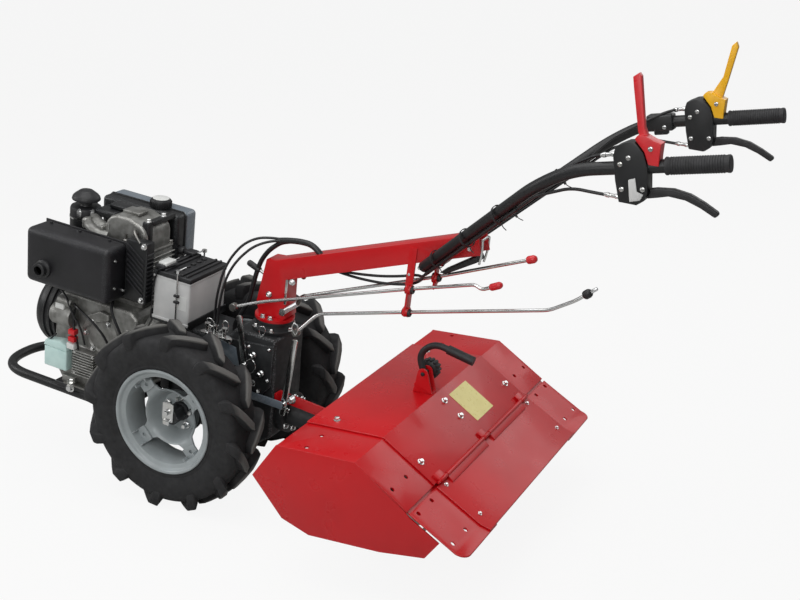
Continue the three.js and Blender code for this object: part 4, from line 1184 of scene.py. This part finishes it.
def batteryLid():
    b = battery
    w = b["halfWidth"] + 2
    top = b["lidTop"]
    lid = roundedBox(-w, w, b["front"] - 2, b["rear"] + 2, b["bodyTop"] + 0.3, top - 6, 3, 3)
    ridges = [roundedBox(-w + 6, w - 6, y, y + 7, top - 8, top, 2.5, 3) for y in (-166, -150, -96, -80)]
    plug = [(0, top - 7), (8, top - 7), (8, top - 3), (6.5, top - 2), (0, top - 2)]
    caps = [turned(plug, "z", 24, (x, -122, 0)) for x in range(-65, 66, 26)]
    return joined(lid, *ridges, *caps)


fixed("battery_case_moulded", batteryBody(), "paleCase", "battery")
fixed("battery_lid_moulded", batteryLid(), "blackNylon", "battery_lid")
makePiece("battery_tray_pressed", joined(
    refined("battery_tray", 1.2), moved(joined(
        roundedBox(-91, 91, -184, -180.5, 186, 214, 1.5, 2),
        roundedBox(-91, 91, -59.5, -56, 186, 208, 1.5, 2),
    ), tractor),
), asPacked, "blackEnamel", "root", ["battery_tray"])
rods = []
for x, y in ((91.5, -100), (-91.5, -140)):
    rods.append(tube([(x, y, 192), (x, y, 340), (x * 0.94, y, 348), (x * 0.6, y, 348)], 2.4, 10, 6, 4))
    rods.append(turned([(0, 342), (7, 342), (7, 350), (0, 350)], "z", 6, (x, y, 0)))
fixed("battery_rods", joined(*rods), "zincPlate")
strap = swept(roundedPath([
    (80, -186, 210), (90.5, -182, 232), (91, -176, 300), (90, -165, 338), (78, -150, 343),
    (30, -142, 343),
], 20, 6), [(-5, -0.8), (5, -0.8), (5, 0.8), (-5, 0.8)])
fixed("battery_strap", roundEdges(strap, 0.5, 1), "cableCover")
clips = [roundedBox(88, 96, -108, -92, z, z + 7, 1.5, 2) for z in (254, 272)]
fixed("battery_rod_clips", joined(*clips), "blackNylon")
fixed("battery_fuse_box", roundedBox(30, 76, -176, -148, 338, 352, 3, 3), "blankPale")
fixed("battery_blank_label", roundedBox(86.8, 87.5, -100, -70, 236, 276, 0.3, 1), "blankPale")
fixed("battery_post_cover", joined(
    roundedBox(52, 84, -182, -150, 334, 346, 4, 3), roundedBox(-84, -52, -182, -150, 334, 346, 4, 3),
), "blackNylon")
print("battery ready")

# ---- handlebar column ----
fixed("column_base_cast", joined(
    turned([
        (0, 228.3), (57, 228.3), (58, 230), (58, 237), (56, 239), (51, 241), (48, 246), (48, 254),
        (54, 257), (54, 261), (53, 262), (0, 262),
    ], "z", 64, (0, 156, 0)),
), "castIronBlack", "column_base")
addBolts(
    "medium", "root", tractor, facing((0, 0, 1), [(x, 156 + y, 238.5) for x, y in around(6, 53, 0.4)]),
)
recast("column_welded", "handlebar_column", "redEnamel", 1.3, 2, 40, body="column")
addBolts("medium", "column", tractor, bothFaces(28.5, [(149, 333), (193, 292), (215, 386)]))
addBolts("small", "column", tractor, bothFaces(28.5, [(543, 500), (640, 590), (690, 606)]))
addBolts(
    "medium", "column", tractor,
    facing(
        (0, 0, 1), [(44 * math.cos(t), 156 + 44 * math.sin(t), 270.6) for t in (0.25, 2.9, 3.4, 6.0)],
    ),
)
tie = roundEdges(prism([(196, 389), (203, 389), (203, 318), (196, 318)], 28.3, 31), 1, 2)
pinBar = turned([(0, -40), (9, -40), (9, 40), (0, 40)], "x", 28, (0, 199, 300))
makePiece("column_clamp", joined(tie, pinBar), tractor, "zincPlate", "column")
turnStem = tube([(0, 118, 372), (0, 97, 380)], 4.5, 14)
makePiece("turntable_stem", turnStem, tractor, "zincPlate", "column")
turnGrip = turned(
    [(0, -2), (5, -2), (8, 0), (8.6, 4), (8.6, 34), (7.6, 39), (4, 41.5), (0, 42)], "z", 28,
)
makePiece(
    "turntable_grip", moved(turnGrip, pointing((0, 98, 379), (0, -38, 14))), tractor, "blackNylon",
    "column", smooth=50,
)
bushes = [
    turned([
        (4.8, y - 9), (9, y - 9), (10.5, y - 6), (10.5, y - 2), (8, y - 1), (8, y + 6), (10.5, y + 7),
        (10.5, y + 11), (9, y + 14), (4.8, y + 14),
    ], "y", 28, (x, 0, z), True)
    for x, y, z in ((42, 552, 404.5), (42, 552, 466.3), (0, 602, 501))
]
makePiece("rod_bushes", joined(*bushes), tractor, "blackNylon", "column")
sector = roundEdges(prism([(619, 524), (636, 524), (714, 576), (708, 588), (691, 578)], -24, 24), 2, 2)
makePiece("height_sector", sector, tractor, "blackEnamel", "column")
makePiece("height_clamp", joined(
    tube([(34, 633, 562), (34, 668, 602), (34, 702, 641)], 2.6, 12),
    tube([(30, 721, 637), (30, 724, 606), (30, 721, 575)], 3, 12),
    tube([(-30, 715, 628), (-30, 716, 596), (-30, 710, 563)], 3, 12),
    tube([(-30, 715, 628), (0, 722, 640), (30, 721, 637)], 3, 12),
), tractor, "zincPlate", "column")
print("column ready")

# ---- control rods and their knobs ----
rodRadius = 4.5
rods = {
    "low": {
        "path": [
            (60, 258, 266), (42, 307, 327), (42, 565, 408), (42, 916, 516), (42, 974, 557),
            (42, 993, 575),
        ],
        "knob": (11, 22), "finish": "blackNylon",
    },
    "high": {
        "path": [
            (80, 76, 292), (60, 150, 322), (42, 553, 467), (42, 723, 527), (42, 742, 519),
            (42, 762, 530),
        ],
        "knob": (9, 34), "finish": "redNylon",
    },
    "inner": {
        "path": [(0, 241, 346), (0, 618, 508), (0, 829, 607)], "knob": (10, 26), "finish": "redNylon",
    },
}


def beyond(path, shape):
    return moved(shape, pointing(path[-1], Vector(path[-1]) - Vector(path[-2])))


def knobAt(path, radius, length):
    return beyond(path, turned([
        (0, 0.3), (radius - 2.5, 0.3), (radius - 1, 2), (radius, 5), (radius, length - 8),
        (radius - 1.5, length - 4), (radius - 4, length - 1), (0, length),
    ], "z", 32))


for name, rod in rods.items():
    shape = tube(rod["path"], rodRadius, 20, 16, 8)
    makePiece(
        f"gear_rod_{name}_plated", shape, tractor, "zincPlate", "column", [f"gear_rod_{name}"],
        smooth=50,
    )
    shape = knobAt(rod["path"], *rod["knob"])
    makePiece(
        f"rod_knob_{name}_moulded", shape, tractor, rod["finish"], "column", [f"rod_knob_{name}"],
        smooth=50,
    )
rodEnds = [
    turned([(0, 52), (10, 52), (11, 54), (11, 66), (10, 68), (0, 68)], "x", 24, (0, 258, 266)),
    turned([(0, 74), (10, 74), (11, 76), (11, 88), (10, 90), (0, 90)], "x", 24, (0, 76, 292)),
    tube([(0, 241, 346), (0, 228, 336), (-4, 220, 316)], 6, 14, 8, 4),
]
makePiece("rod_joints", joined(*rodEnds), tractor, "bareSteel", "column")
makePiece("rod_clip_low", wireLoop(70, 262, 262, 0.1), tractor, "zincPlate", "column")
tip = turned([(0, 21), (4.5, 21), (4.5, 36), (3.5, 38), (0, 38)], "z", 20)
makePiece("rod_tip_low", beyond(rods["low"]["path"], tip), tractor, "zincPlate", "column")

# ---- handlebar ----
bar = {
    "radius": 14, "path": [(48, 586, 537), (268, 905, 871), (286, 985, 930), (286, 1292, 1015)],
    "hinge": (620, 572), "gripLength": 125,
}


def flipped(path):
    return [(-x, y, z) for x, y, z in path]


def handlebarTubes():
    y, z = bar["hinge"]
    pin = turned(
        [(0, -64), (12, -64), (12, -58), (8, -57), (8, 57), (12, 58), (12, 64), (0, 64)], "x", 28,
        (0, y, z),
    )
    return joined(
        *[tube(path, bar["radius"], 28, 60, 14) for path in (bar["path"], flipped(bar["path"]))], pin,
    )


makePiece(
    "handlebar_tubes", handlebarTubes(), tractor, "blackEnamel", "handlebar", ["handlebar"], smooth=50,
)
gripEnd = Vector(bar["path"][3])
gripWay = (gripEnd - Vector(bar["path"][2])).normalized()
gripStart = gripEnd - gripWay * bar["gripLength"]
gripTilt = math.atan2(gripWay.z, gripWay.y)


def onGrip(side):
    start = Vector((side * gripStart.x, gripStart.y, gripStart.z))
    return tractor @ Matrix.Translation(start) @ Matrix.Rotation(gripTilt, 4, "X")


def gripSleeve():
    end = bar["gripLength"]
    return turned([
        (14.3, 0.5), (17.5, 0.5), (18.6, 2), (18.6, 5), (17.3, 7), (17.3, end - 3), (18.2, end - 1),
        (18.2, end + 3), (16.5, end + 5), (0, end + 5), (0, end + 0.5), (14.3, end + 0.5),
    ], "y", 48)


ferrule = [
    (0, 0), (4, 0), (5.2, 2), (5.2, 10), (4.2, 12), (4.2, 22), (5.4, 23), (5.4, 28), (3.5, 34), (0, 34),
]


def leverLatch():
    return roundEdges(
        prism([(-72, -21), (-57, -18), (-56, -46), (-43, -52), (-51, -64), (-73, -66)], 20, 24), 1.5, 2,
    )


thumbLevers = {
    "red_lever": {
        "side": 1, "finish": "redNylon",
        "arm": [
            (-46, 56), (-26, 50), (-35, 80), (-34, 181), (-38, 188), (-51, 181), (-51, 160), (-49, 74),
        ],
    },
    "yellow_lever": {
        "side": -1, "finish": "yellowNylon",
        "arm": [(-40, 56), (-12, 48), (-9, 56), (5, 92), (32, 165), (29, 178), (18, 170), (-6, 100)],
    },
}
for side, name in bothSides:
    place = onGrip(side)
    makePiece(f"grip_{name}_moulded", gripSleeve(), place, "gripRubber", "handlebar", [f"grip_{name}"])
    rib = turned([(17, 10), (18.3, 10.6), (18.3, 12.4), (17, 13)], "y", 40, loop=True)
    inRow(f"grip_{name}_ribs", rib, place, 21, (0, 5.2, 0), "gripRubber", "handlebar")
    recast(f"lever_housing_{name}_cast", f"lever_housing_{name}", "blackEnamel", 3, 3, body="handlebar")
    recast(
        f"hand_lever_{name}_moulded", f"hand_lever_{name}", "blackNylon", 3.2, 4, body="handlebar",
        smooth=50,
    )
    latchShape = onSide(side, leverLatch())
    makePiece(f"lever_latch_{name}", latchShape, place, "paleCase", "handlebar")
    addBolts(
        "small", "handlebar", place, bothFaces(20.3, [(-87, 11), (-45, -42), (-69, 23), (-88, -40)]),
    )
    ferrules = [
        moved(turned(ferrule, "z", 24), pointing(foot, way))
        for foot, way in (((0, -98, -60), (0, -1, 0.2)), ((0, -98, 29), (0, -1, -0.05)))
    ]
    makePiece(f"cable_adjusters_{name}", joined(*ferrules), place, "zincPlate", "handlebar")
for name, lever in thumbLevers.items():
    recast(f"{name}_moulded", name, lever["finish"], 3.0, 4, body="handlebar", smooth=50)
    addBolts("small", "handlebar", onGrip(lever["side"]), bothFaces(16.3, [(-24, 38)]))
clamp = joined(
    roundedBox(-19, 19, -195, -130, -20, 20, 5, 3), roundedBox(-10, 10, -180, -146, -30, -16, 3, 2),
)
makePiece("throttle_clamp", clamp, onGrip(-1), "blackEnamel", "handlebar")
addBolts("small", "handlebar", onGrip(-1), bothFaces(19.3, [(-151, -10)]))
print("handlebar ready")

# ---- control cables: fixed runs, held at both ends ----
cable = {"radius": 3.5, "hose": 6.5, "sleeve": 8, "bundle": 4.5, "sides": 14, "clear": 0.3}
sleevePath = [
    (10, 150, 480), (10, 178, 488), (10, 215, 495), (10, 247, 496), (10, 268, 487), (10, 286, 470),
]
frontCable = [
    (68, 10, 185 + cable["clear"]), (68, 10, 247), (70, 13, 301), (66, 24, 370), (56, 40, 417),
    (42, 66, 457), (28, 100, 480), (14, 140, 486), (10, 178, 488),
]
rearCable = [
    (74, 24, 185 + cable["clear"]), (74, 24, 266), (72, 30, 325), (66, 42, 376), (56, 62, 417),
    (40, 95, 457), (22, 132, 477), (10, 178, 487),
]
hosePath = [
    (0, 34, 185 + cable["clear"]), (0, 34, 205), (0, 52, 240), (0, 74, 289), (0, 81, 335), (0, 90, 378),
    (2, 102, 412), (5, 124, 446), (10, 160, 478), (10, 190, 489),
]
loopShape = joined(
    tube(sleevePath, cable["sleeve"], 20, 30, 6),
    tube(frontCable, cable["radius"], cable["sides"], 60, 6),
    tube(rearCable, cable["radius"], cable["sides"], 60, 6), tube(hosePath, cable["hose"], 18, 40, 6),
)
loop = makePiece("cable_loop_covers", loopShape, tractor, "cableCover", None, ["cable_loop"], smooth=60)
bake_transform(loop)

barFoot = Vector(bar["path"][0])
barWay = (Vector(bar["path"][1]) - barFoot).normalized()
underWay = (Vector((0, 0, -1)) + barWay * barWay.z).normalized()
innerWay = (Vector((-1, 0, 0)) + barWay * barWay.x).normalized()
besideBar = bar["radius"] + cable["bundle"] + 3 * cable["clear"]


def byBar(along, degrees):
    turn = math.radians(degrees)
    out = besideBar + 3 * cable["radius"] * math.sin(turn)
    return tuple(
        barFoot + barWay * along + underWay * out * math.cos(turn) + innerWay * out * math.sin(turn),
    )


upperSag = [
    (12, 330, 447), (14, 345, 449), (17, 400, 457), (20, 460, 469), (20, 514, 484), (22, 560, 501),
    (40, 582, 508),
    byBar(-12, 0), byBar(-cable["clear"], 0),
]
lowerSag = [
    (4, 318, 443), (8, 345, 442), (14, 400, 444), (18, 476, 452), (20, 544, 470), (25, 566, 484),
    (42, 584, 502),
    byBar(-12, 0), byBar(-cable["clear"], 0),
]
sag = joined(*[tube(path, cable["radius"], cable["sides"], 60, 6) for path in (upperSag, lowerSag)])
sag = makePiece(
    "sagging_cable_covers", sag, tractor, "cableCover", None, ["cables_under_beam"], smooth=60,
)
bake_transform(sag)


def gripPoint(x, along, up):
    return tuple(gripStart + Matrix.Rotation(gripTilt, 3, "X") @ Vector((x, along, up)))


def barCables():
    x, y, z = bar["path"][1]
    x2, y2, z2 = bar["path"][2]
    return joined(
        tube([byBar(0, 0), byBar(240, 0), byBar(430, 0)], cable["bundle"], 16, 40, 6),
        tube([
            byBar(420, 0), byBar(480, 0), byBar(505, 0), gripPoint(0, -200, -38),
            gripPoint(0, -150, -50),
            gripPoint(0, -100 - cable["clear"], -60),
        ], cable["radius"], cable["sides"], 60, 8),
        tube([
            byBar(390, 0), byBar(420, 40), byBar(460, 85), (x - 32, y + 12, z + 16),
            (x2 - 24, y2, z2 + 10),
            gripPoint(-14, -150, 24), gripPoint(0, -122, 29), gripPoint(0, -100 - cable["clear"], 29),
        ], cable["radius"], cable["sides"], 60, 8),
    )


for side, name in bothSides:
    shape = onSide(side, barCables())
    makePiece(
        f"bar_cable_{name}_covers", shape, tractor, "cableCover", "handlebar", [f"bar_cable_{name}"],
        smooth=60,
    )
    bands = []
    for along in (70, 215, 360):
        middle = barFoot + barWay * along + underWay * 5
        band = turned([(19, -3), (20.5, -3), (20.5, 3), (19, 3)], "z", 40, loop=True)
        moved(band, Matrix.Scale(1.12, 4, (0, 1, 0)))
        frameTurn = Matrix((barWay.cross(underWay), underWay, barWay)).transposed().to_4x4()
        bands.append(moved(band, Matrix.Translation(middle) @ frameTurn))
        tail = tube([(0, 21, 0), (0, 30, 2), (2, 40, 8)], 1.2, 8, 6, 3)
        bands.append(moved(tail, Matrix.Translation(middle) @ frameTurn))
    shape = onSide(side, joined(*bands))
    makePiece(f"cable_ties_{name}", shape, tractor, "blackNylon", "handlebar")
print("cables ready")

# ---- tiller hood ----
hood = {"top": 104, "fold": 667, "seam": 801, "seamZ": 9.8, "sheet": 4, "holeRadius": 6}
slope = math.atan2(hood["top"] - hood["seamZ"], hood["seam"] - hood["fold"])
# the flap's top face in [y, z]: where it starts, where it bends, its lip
flap = {"start": (807, 5.6), "bend": (920.2, -66.4), "lip": (944.5, -73.5), "halfWidth": 297.5}
flapSlope = math.atan2(flap["start"][1] - flap["bend"][1], flap["bend"][0] - flap["start"][0])


def squareTo(angle):
    return Vector((0, math.sin(angle), math.cos(angle)))


def onTop(x, y, drop=0):
    return Vector((x, y, hood["top"] - drop))


def onSlope(x, y, drop=0):
    return Vector((x, y, hood["top"] - (y - hood["fold"]) * math.tan(slope))) - squareTo(slope) * drop


def onFlap(x, y, drop=0):
    startY, startZ = flap["start"]
    return Vector((x, y, startZ - (y - startY) * math.tan(flapSlope))) - squareTo(flapSlope) * drop


def holes(spots, angle):
    punch = turned([(0, -16), (hood["holeRadius"], -16), (hood["holeRadius"], 16), (0, 16)], "z", 20)
    turn = Matrix.Rotation(-angle, 4, "X")
    made = [moved(punch.copy(), level @ Matrix.Translation(spot) @ turn) for spot in spots]
    punch.free()
    return made


recast("hood_plate_pressed", "hood_plate", "redEnamel", 1.3, 3)
flapPin = {
    "at": (807.74, 13.02), "bore": 3.5, "knuckle": 5.5, "foot": 8, "spans": [(-243, -19), (19, 243)],
}


def flapLine(drop):
    down = squareTo(slope) * drop
    (y0, z0), (y1, z1), (y2, z2) = flap["start"], flap["bend"], flap["lip"]
    return [(y0 - down.y, z0 - down.z), (y1 - 0.8 * down.y, z1 - 1.06 * down.z), (y2, z2 - drop)]


def flapKnuckle(x0, x1):
    y, z = flapPin["at"]
    along, down = Vector((math.cos(slope), -math.sin(slope))), Vector(
        (-math.sin(slope), -math.cos(slope)),
    )
    foot = [
        Vector((y, z)) + along * a + down * b
        for a, b in ((4, 0), (4, flapPin["foot"]), (22, flapPin["foot"]), (22, 3), (8, 0))
    ]
    barrel = turned([
        (flapPin["bore"], x0), (flapPin["knuckle"], x0), (flapPin["knuckle"], x1),
        (flapPin["bore"], x1),
    ], "x", 28, (0, y, z), True)
    return joined(barrel, roundEdges(prism([tuple(spot) for spot in foot], x0, x1), 0.5, 1))


makePiece("rear_flap_pressed", joined(
    roundEdges(
        prism(
            [*flapLine(0), *reversed(flapLine(hood["sheet"]))], -flap["halfWidth"], flap["halfWidth"],
        ),
        1.2, 3, 40,
    ),
    *[flapKnuckle(*span) for span in flapPin["spans"]],
), level, "redEnamel", "rear_flap", ["rear_flap"])
for side, name in bothSides:
    columns = (side * 346, side * 417)
    punches = joined(
        *holes([onTop(x, 527, 6) for x in columns], 0),
        *holes([onSlope(x, 752, 6) for x in columns], slope),
    )
    wing = drilled(refined(f"hood_wing_{name}", 1.3, 3), punches)
    makePiece(f"hood_wing_{name}_pressed", wing, asPacked, "redEnamel", "root", [f"hood_wing_{name}"])
    punches = joined(*holes([onFlap(x, y, 6) for x in columns for y in (818, 904)], flapSlope))
    wing = drilled(refined(f"flap_wing_{name}", 1.3, 3), punches)
    makePiece(
        f"flap_wing_{name}_pressed", wing, asPacked, "redEnamel", "rear_flap", [f"flap_wing_{name}"],
    )
recast("flap_hinge_welded", "flap_hinge_rod", "redEnamel", 0.8, 2, 40)
apron = [(790, 8.1), (792, 10.1), (818, -9.1), (816, -11.1)]
makePiece("seam_apron", joined(*[
    roundEdges(prism(apron, *sorted((side * 32, side * 256))), 0.6, 1) for side in (1, -1)
], *[
    roundEdges(
        prism([(y, z - 5.6) for y, z in apron], *sorted((side * 257, side * 434))), 0.6, 1,
    ) for side in (1, -1)
]), level, "redEnamel", "rear_flap")
addBolts("medium", "root", level, [(onTop(x, 521), (0, 0, 1)) for x in (-260, 260)])
addBolts("medium", "root", level, [
    (onSlope(x, y), tuple(squareTo(slope))) for x, y in ((-270, 751), (270, 751), (1, 691), (3, 737))
])
addBolts("small", "rear_flap", level, [
    (onFlap(x, y), tuple(squareTo(flapSlope))) for x in (-270, 268) for y in (817, 904)
])
makePiece("hood_blank_plate", moved(
    roundedBox(-53, 53, -50, 50, 0, 0.8, 0.3, 1),
    Matrix.Translation(onSlope(-89, 728) + squareTo(slope) * 0.2) @ Matrix.Rotation(-slope, 4, "X"),
), level, "blankYellow", "root")
recast("tiller_case_cast", "tiller_gear_case", "castIronBlack", 4, 2, 40, smooth=40)
addBolts("medium", "root", tractor, facing((0, 1, 0), [(x, 241, z) for x, z in around(6, 48, 0.5)]))
recast("hitch_arm_cut", "hitch_arm", "redEnamel", 1, 2)
addBolts("large", "root", level, [((44.5, 262, 28), (1, 0, 0)), ((44.5, 530, -28), (1, 0, 0))])
recast("depth_bracket_welded", "depth_bracket", "redEnamel", 0.8, 2, 40)


def depthHandle():
    y, z = 636, 156
    crank = tube([(0, 634, 146), (0, 618, 205), (0, 662, 240), (0, 770, 208.6)], 8.5, 24, 40, 14)
    sleeve = tube([(0, 700, 229.2), (0, 712, 225.6), (0, 762, 210.9), (0, 770, 208.6)], 12, 28, 4, 2)
    pin = turned([(0, -37), (5, -37), (5, 17), (4, 18), (0, 18)], "x", 24, (0, y, z))
    lobe = [(0, -43), (3, -43), (4.4, -41), (4.4, -23), (3, -21), (0, -21)]
    lobes = [turned(lobe, "x", 14, (0, y + along, z + up)) for along, up in around(14, 23.5)]
    knob = turned([(0, -44), (20, -44), (24, -41), (24, -23), (20, -20), (0, -20)], "x", 42, (0, y, z))
    return joined(crank, sleeve, pin, knob, *lobes)


makePiece(
    "depth_handle_moulded", depthHandle(), level, "blackNylon", "root", ["depth_handle"], smooth=50,
)
recast("depth_skid_pressed", "depth_skid", "blackEnamel", 2, 2)

# ---- tiller rotor ----
rotor = {"y": 640, "z": -75, "discs": [64, 134, 204, 274]}


def tine(toward):
    # a flat blade that sweeps back and bends over at its tip
    arm = roundEdges(
        prism([(-13, 26), (13, 26), (12, 80), (4, 112), (-8, 128), (-26, 128), (-18, 100)], -3.5, 3.5),
        1.2, 2, 30,
    )
    x0, x1 = sorted((-3.5 * toward, 40 * toward))
    blade = roundEdges(prism([(-27, 124), (-7, 128), (-12, 136), (-30, 131)], x0, x1), 1.5, 2)
    return joined(arm, blade)


shaftSpots = [
    turned([(0, -290), (16, -290), (16, 290), (0, 290)], "x", 40, (0, rotor["y"], rotor["z"])),
]
for side, name in reversed(bothSides):
    for i, x in enumerate(rotor["discs"]):
        at = side * x
        rotorAt = (at, rotor["y"], rotor["z"])
        disc = [(15, at - 4), (43, at - 4), (44, at - 3), (44, at + 3), (43, at + 4), (15, at + 4)]
        shaftSpots.append(turned(disc, "x", 48, (0, *rotorAt[1:]), True))
        toward = (1 if i % 2 == 0 else -1) * side
        blade = moved(tine(toward), Matrix.Translation(rotorAt))
        start = i * math.pi / 8
        rowName = f"tines_{name}_{i + 1}"
        inRing(rowName, blade, level, 4, rotorAt, (1, 0, 0), start, "bareSteel", "tiller_rotor")
        addBolts(
            "medium", "tiller_rotor", level,
            facing(
                (side, 0, 0),
                [(at + side * 4, rotor["y"] + y, rotor["z"] + z) for y, z in around(8, 34)],
            ),
        )
makePiece(
    "rotor_shaft_turned", joined(*shaftSpots), level, "bareSteel", "tiller_rotor", ["tiller_rotor"],
)
makeBolts()
print("tiller ready")


# ---- floor, light and camera ----
def flatFinish(name, code, camera):
    material = bpy.data.materials.new(name)
    tree = emptyTree(material)
    ray = addNode(tree, "ShaderNodeLightPath")
    dull = addNode(tree, "ShaderNodeBsdfDiffuse", {"Color": linear(code)}).outputs[0]
    bright = addNode(tree, "ShaderNodeEmission", {"Color": (1, 1, 1, 1), "Strength": 1.0}).outputs[0]
    share = calculate(tree, "MULTIPLY", ray.outputs["Is Camera Ray"], camera)
    mixed = addNode(tree, "ShaderNodeMixShader", None, {0: share, 1: dull, 2: bright}).outputs[0]
    addNode(tree, "ShaderNodeOutputMaterial", None, {"Surface": mixed})
    return material


floorLook = {"colour": "#c4c4c2", "share": 0.9}
floorMesh = meshFrom("floor", turned([(0, 0), (0.5, 0), (4, 0), (60, 0)], "z", 96))
floorMesh.materials.append(flatFinish("paleFloor", floorLook["colour"], floorLook["share"]))
floor = linked("floor", floorMesh)

roomLight = 0.3  # what the white room gives the surfaces; the camera sees it as plain white
world = bpy.data.worlds.new("paleRoom")
bpy.context.scene.world = world
room = emptyTree(world)
rays = addNode(room, "ShaderNodeLightPath").outputs
seen = calculate(room, "MAXIMUM", rays["Is Camera Ray"], rays["Is Transmission Ray"])
strength = addNode(
    room, "ShaderNodeMapRange", {"To Min": roomLight, "To Max": 1.0}, {"Value": seen},
).outputs[0]
sky = addNode(room, "ShaderNodeBackground", {"Color": (1, 1, 1, 1)}, {"Strength": strength}).outputs[0]
addNode(room, "ShaderNodeOutputWorld", None, {"Surface": sky})

lamps = {
    "overhead": {"at": (0.4, -0.2, 3.4), "size": (3.2, 3.2), "watts": 66},
    "cameraSide": {"at": (3.6, 0.6, 2.3), "size": (2.2, 1.8), "watts": 46},
    "front": {"at": (1.6, -3.6, 2.2), "size": (2.0, 1.6), "watts": 34},
    "farSide": {"at": (-3.2, 1.2, 2.4), "size": (2.2, 1.8), "watts": 16},
}
for name, lamp in lamps.items():
    light = bpy.data.lights.new(name, "AREA")
    light.shape = "RECTANGLE"
    light.size, light.size_y = lamp["size"]
    light.energy = lamp["watts"]
    holder = linked(name, light)
    holder.location = lamp["at"]
    holder.rotation_euler = (
        Vector((0, 0, 0.5)) - Vector(lamp["at"])
    ).to_track_quat("-Z", "Y").to_euler()

view = {"lens": 56.77, "at": (2.7235, 1.5502, 1.6229), "way": (-0.8505, -0.4172, -0.3204)}
camera = linked("camera", bpy.data.cameras.new("camera"))
camera.data.lens = view["lens"]
camera.location = view["at"]
camera.rotation_euler = Vector(view["way"]).to_track_quat("-Z", "Y").to_euler()
bpy.context.scene.camera = camera
bpy.context.scene.view_settings.view_transform = "Standard"

print("scene ready")
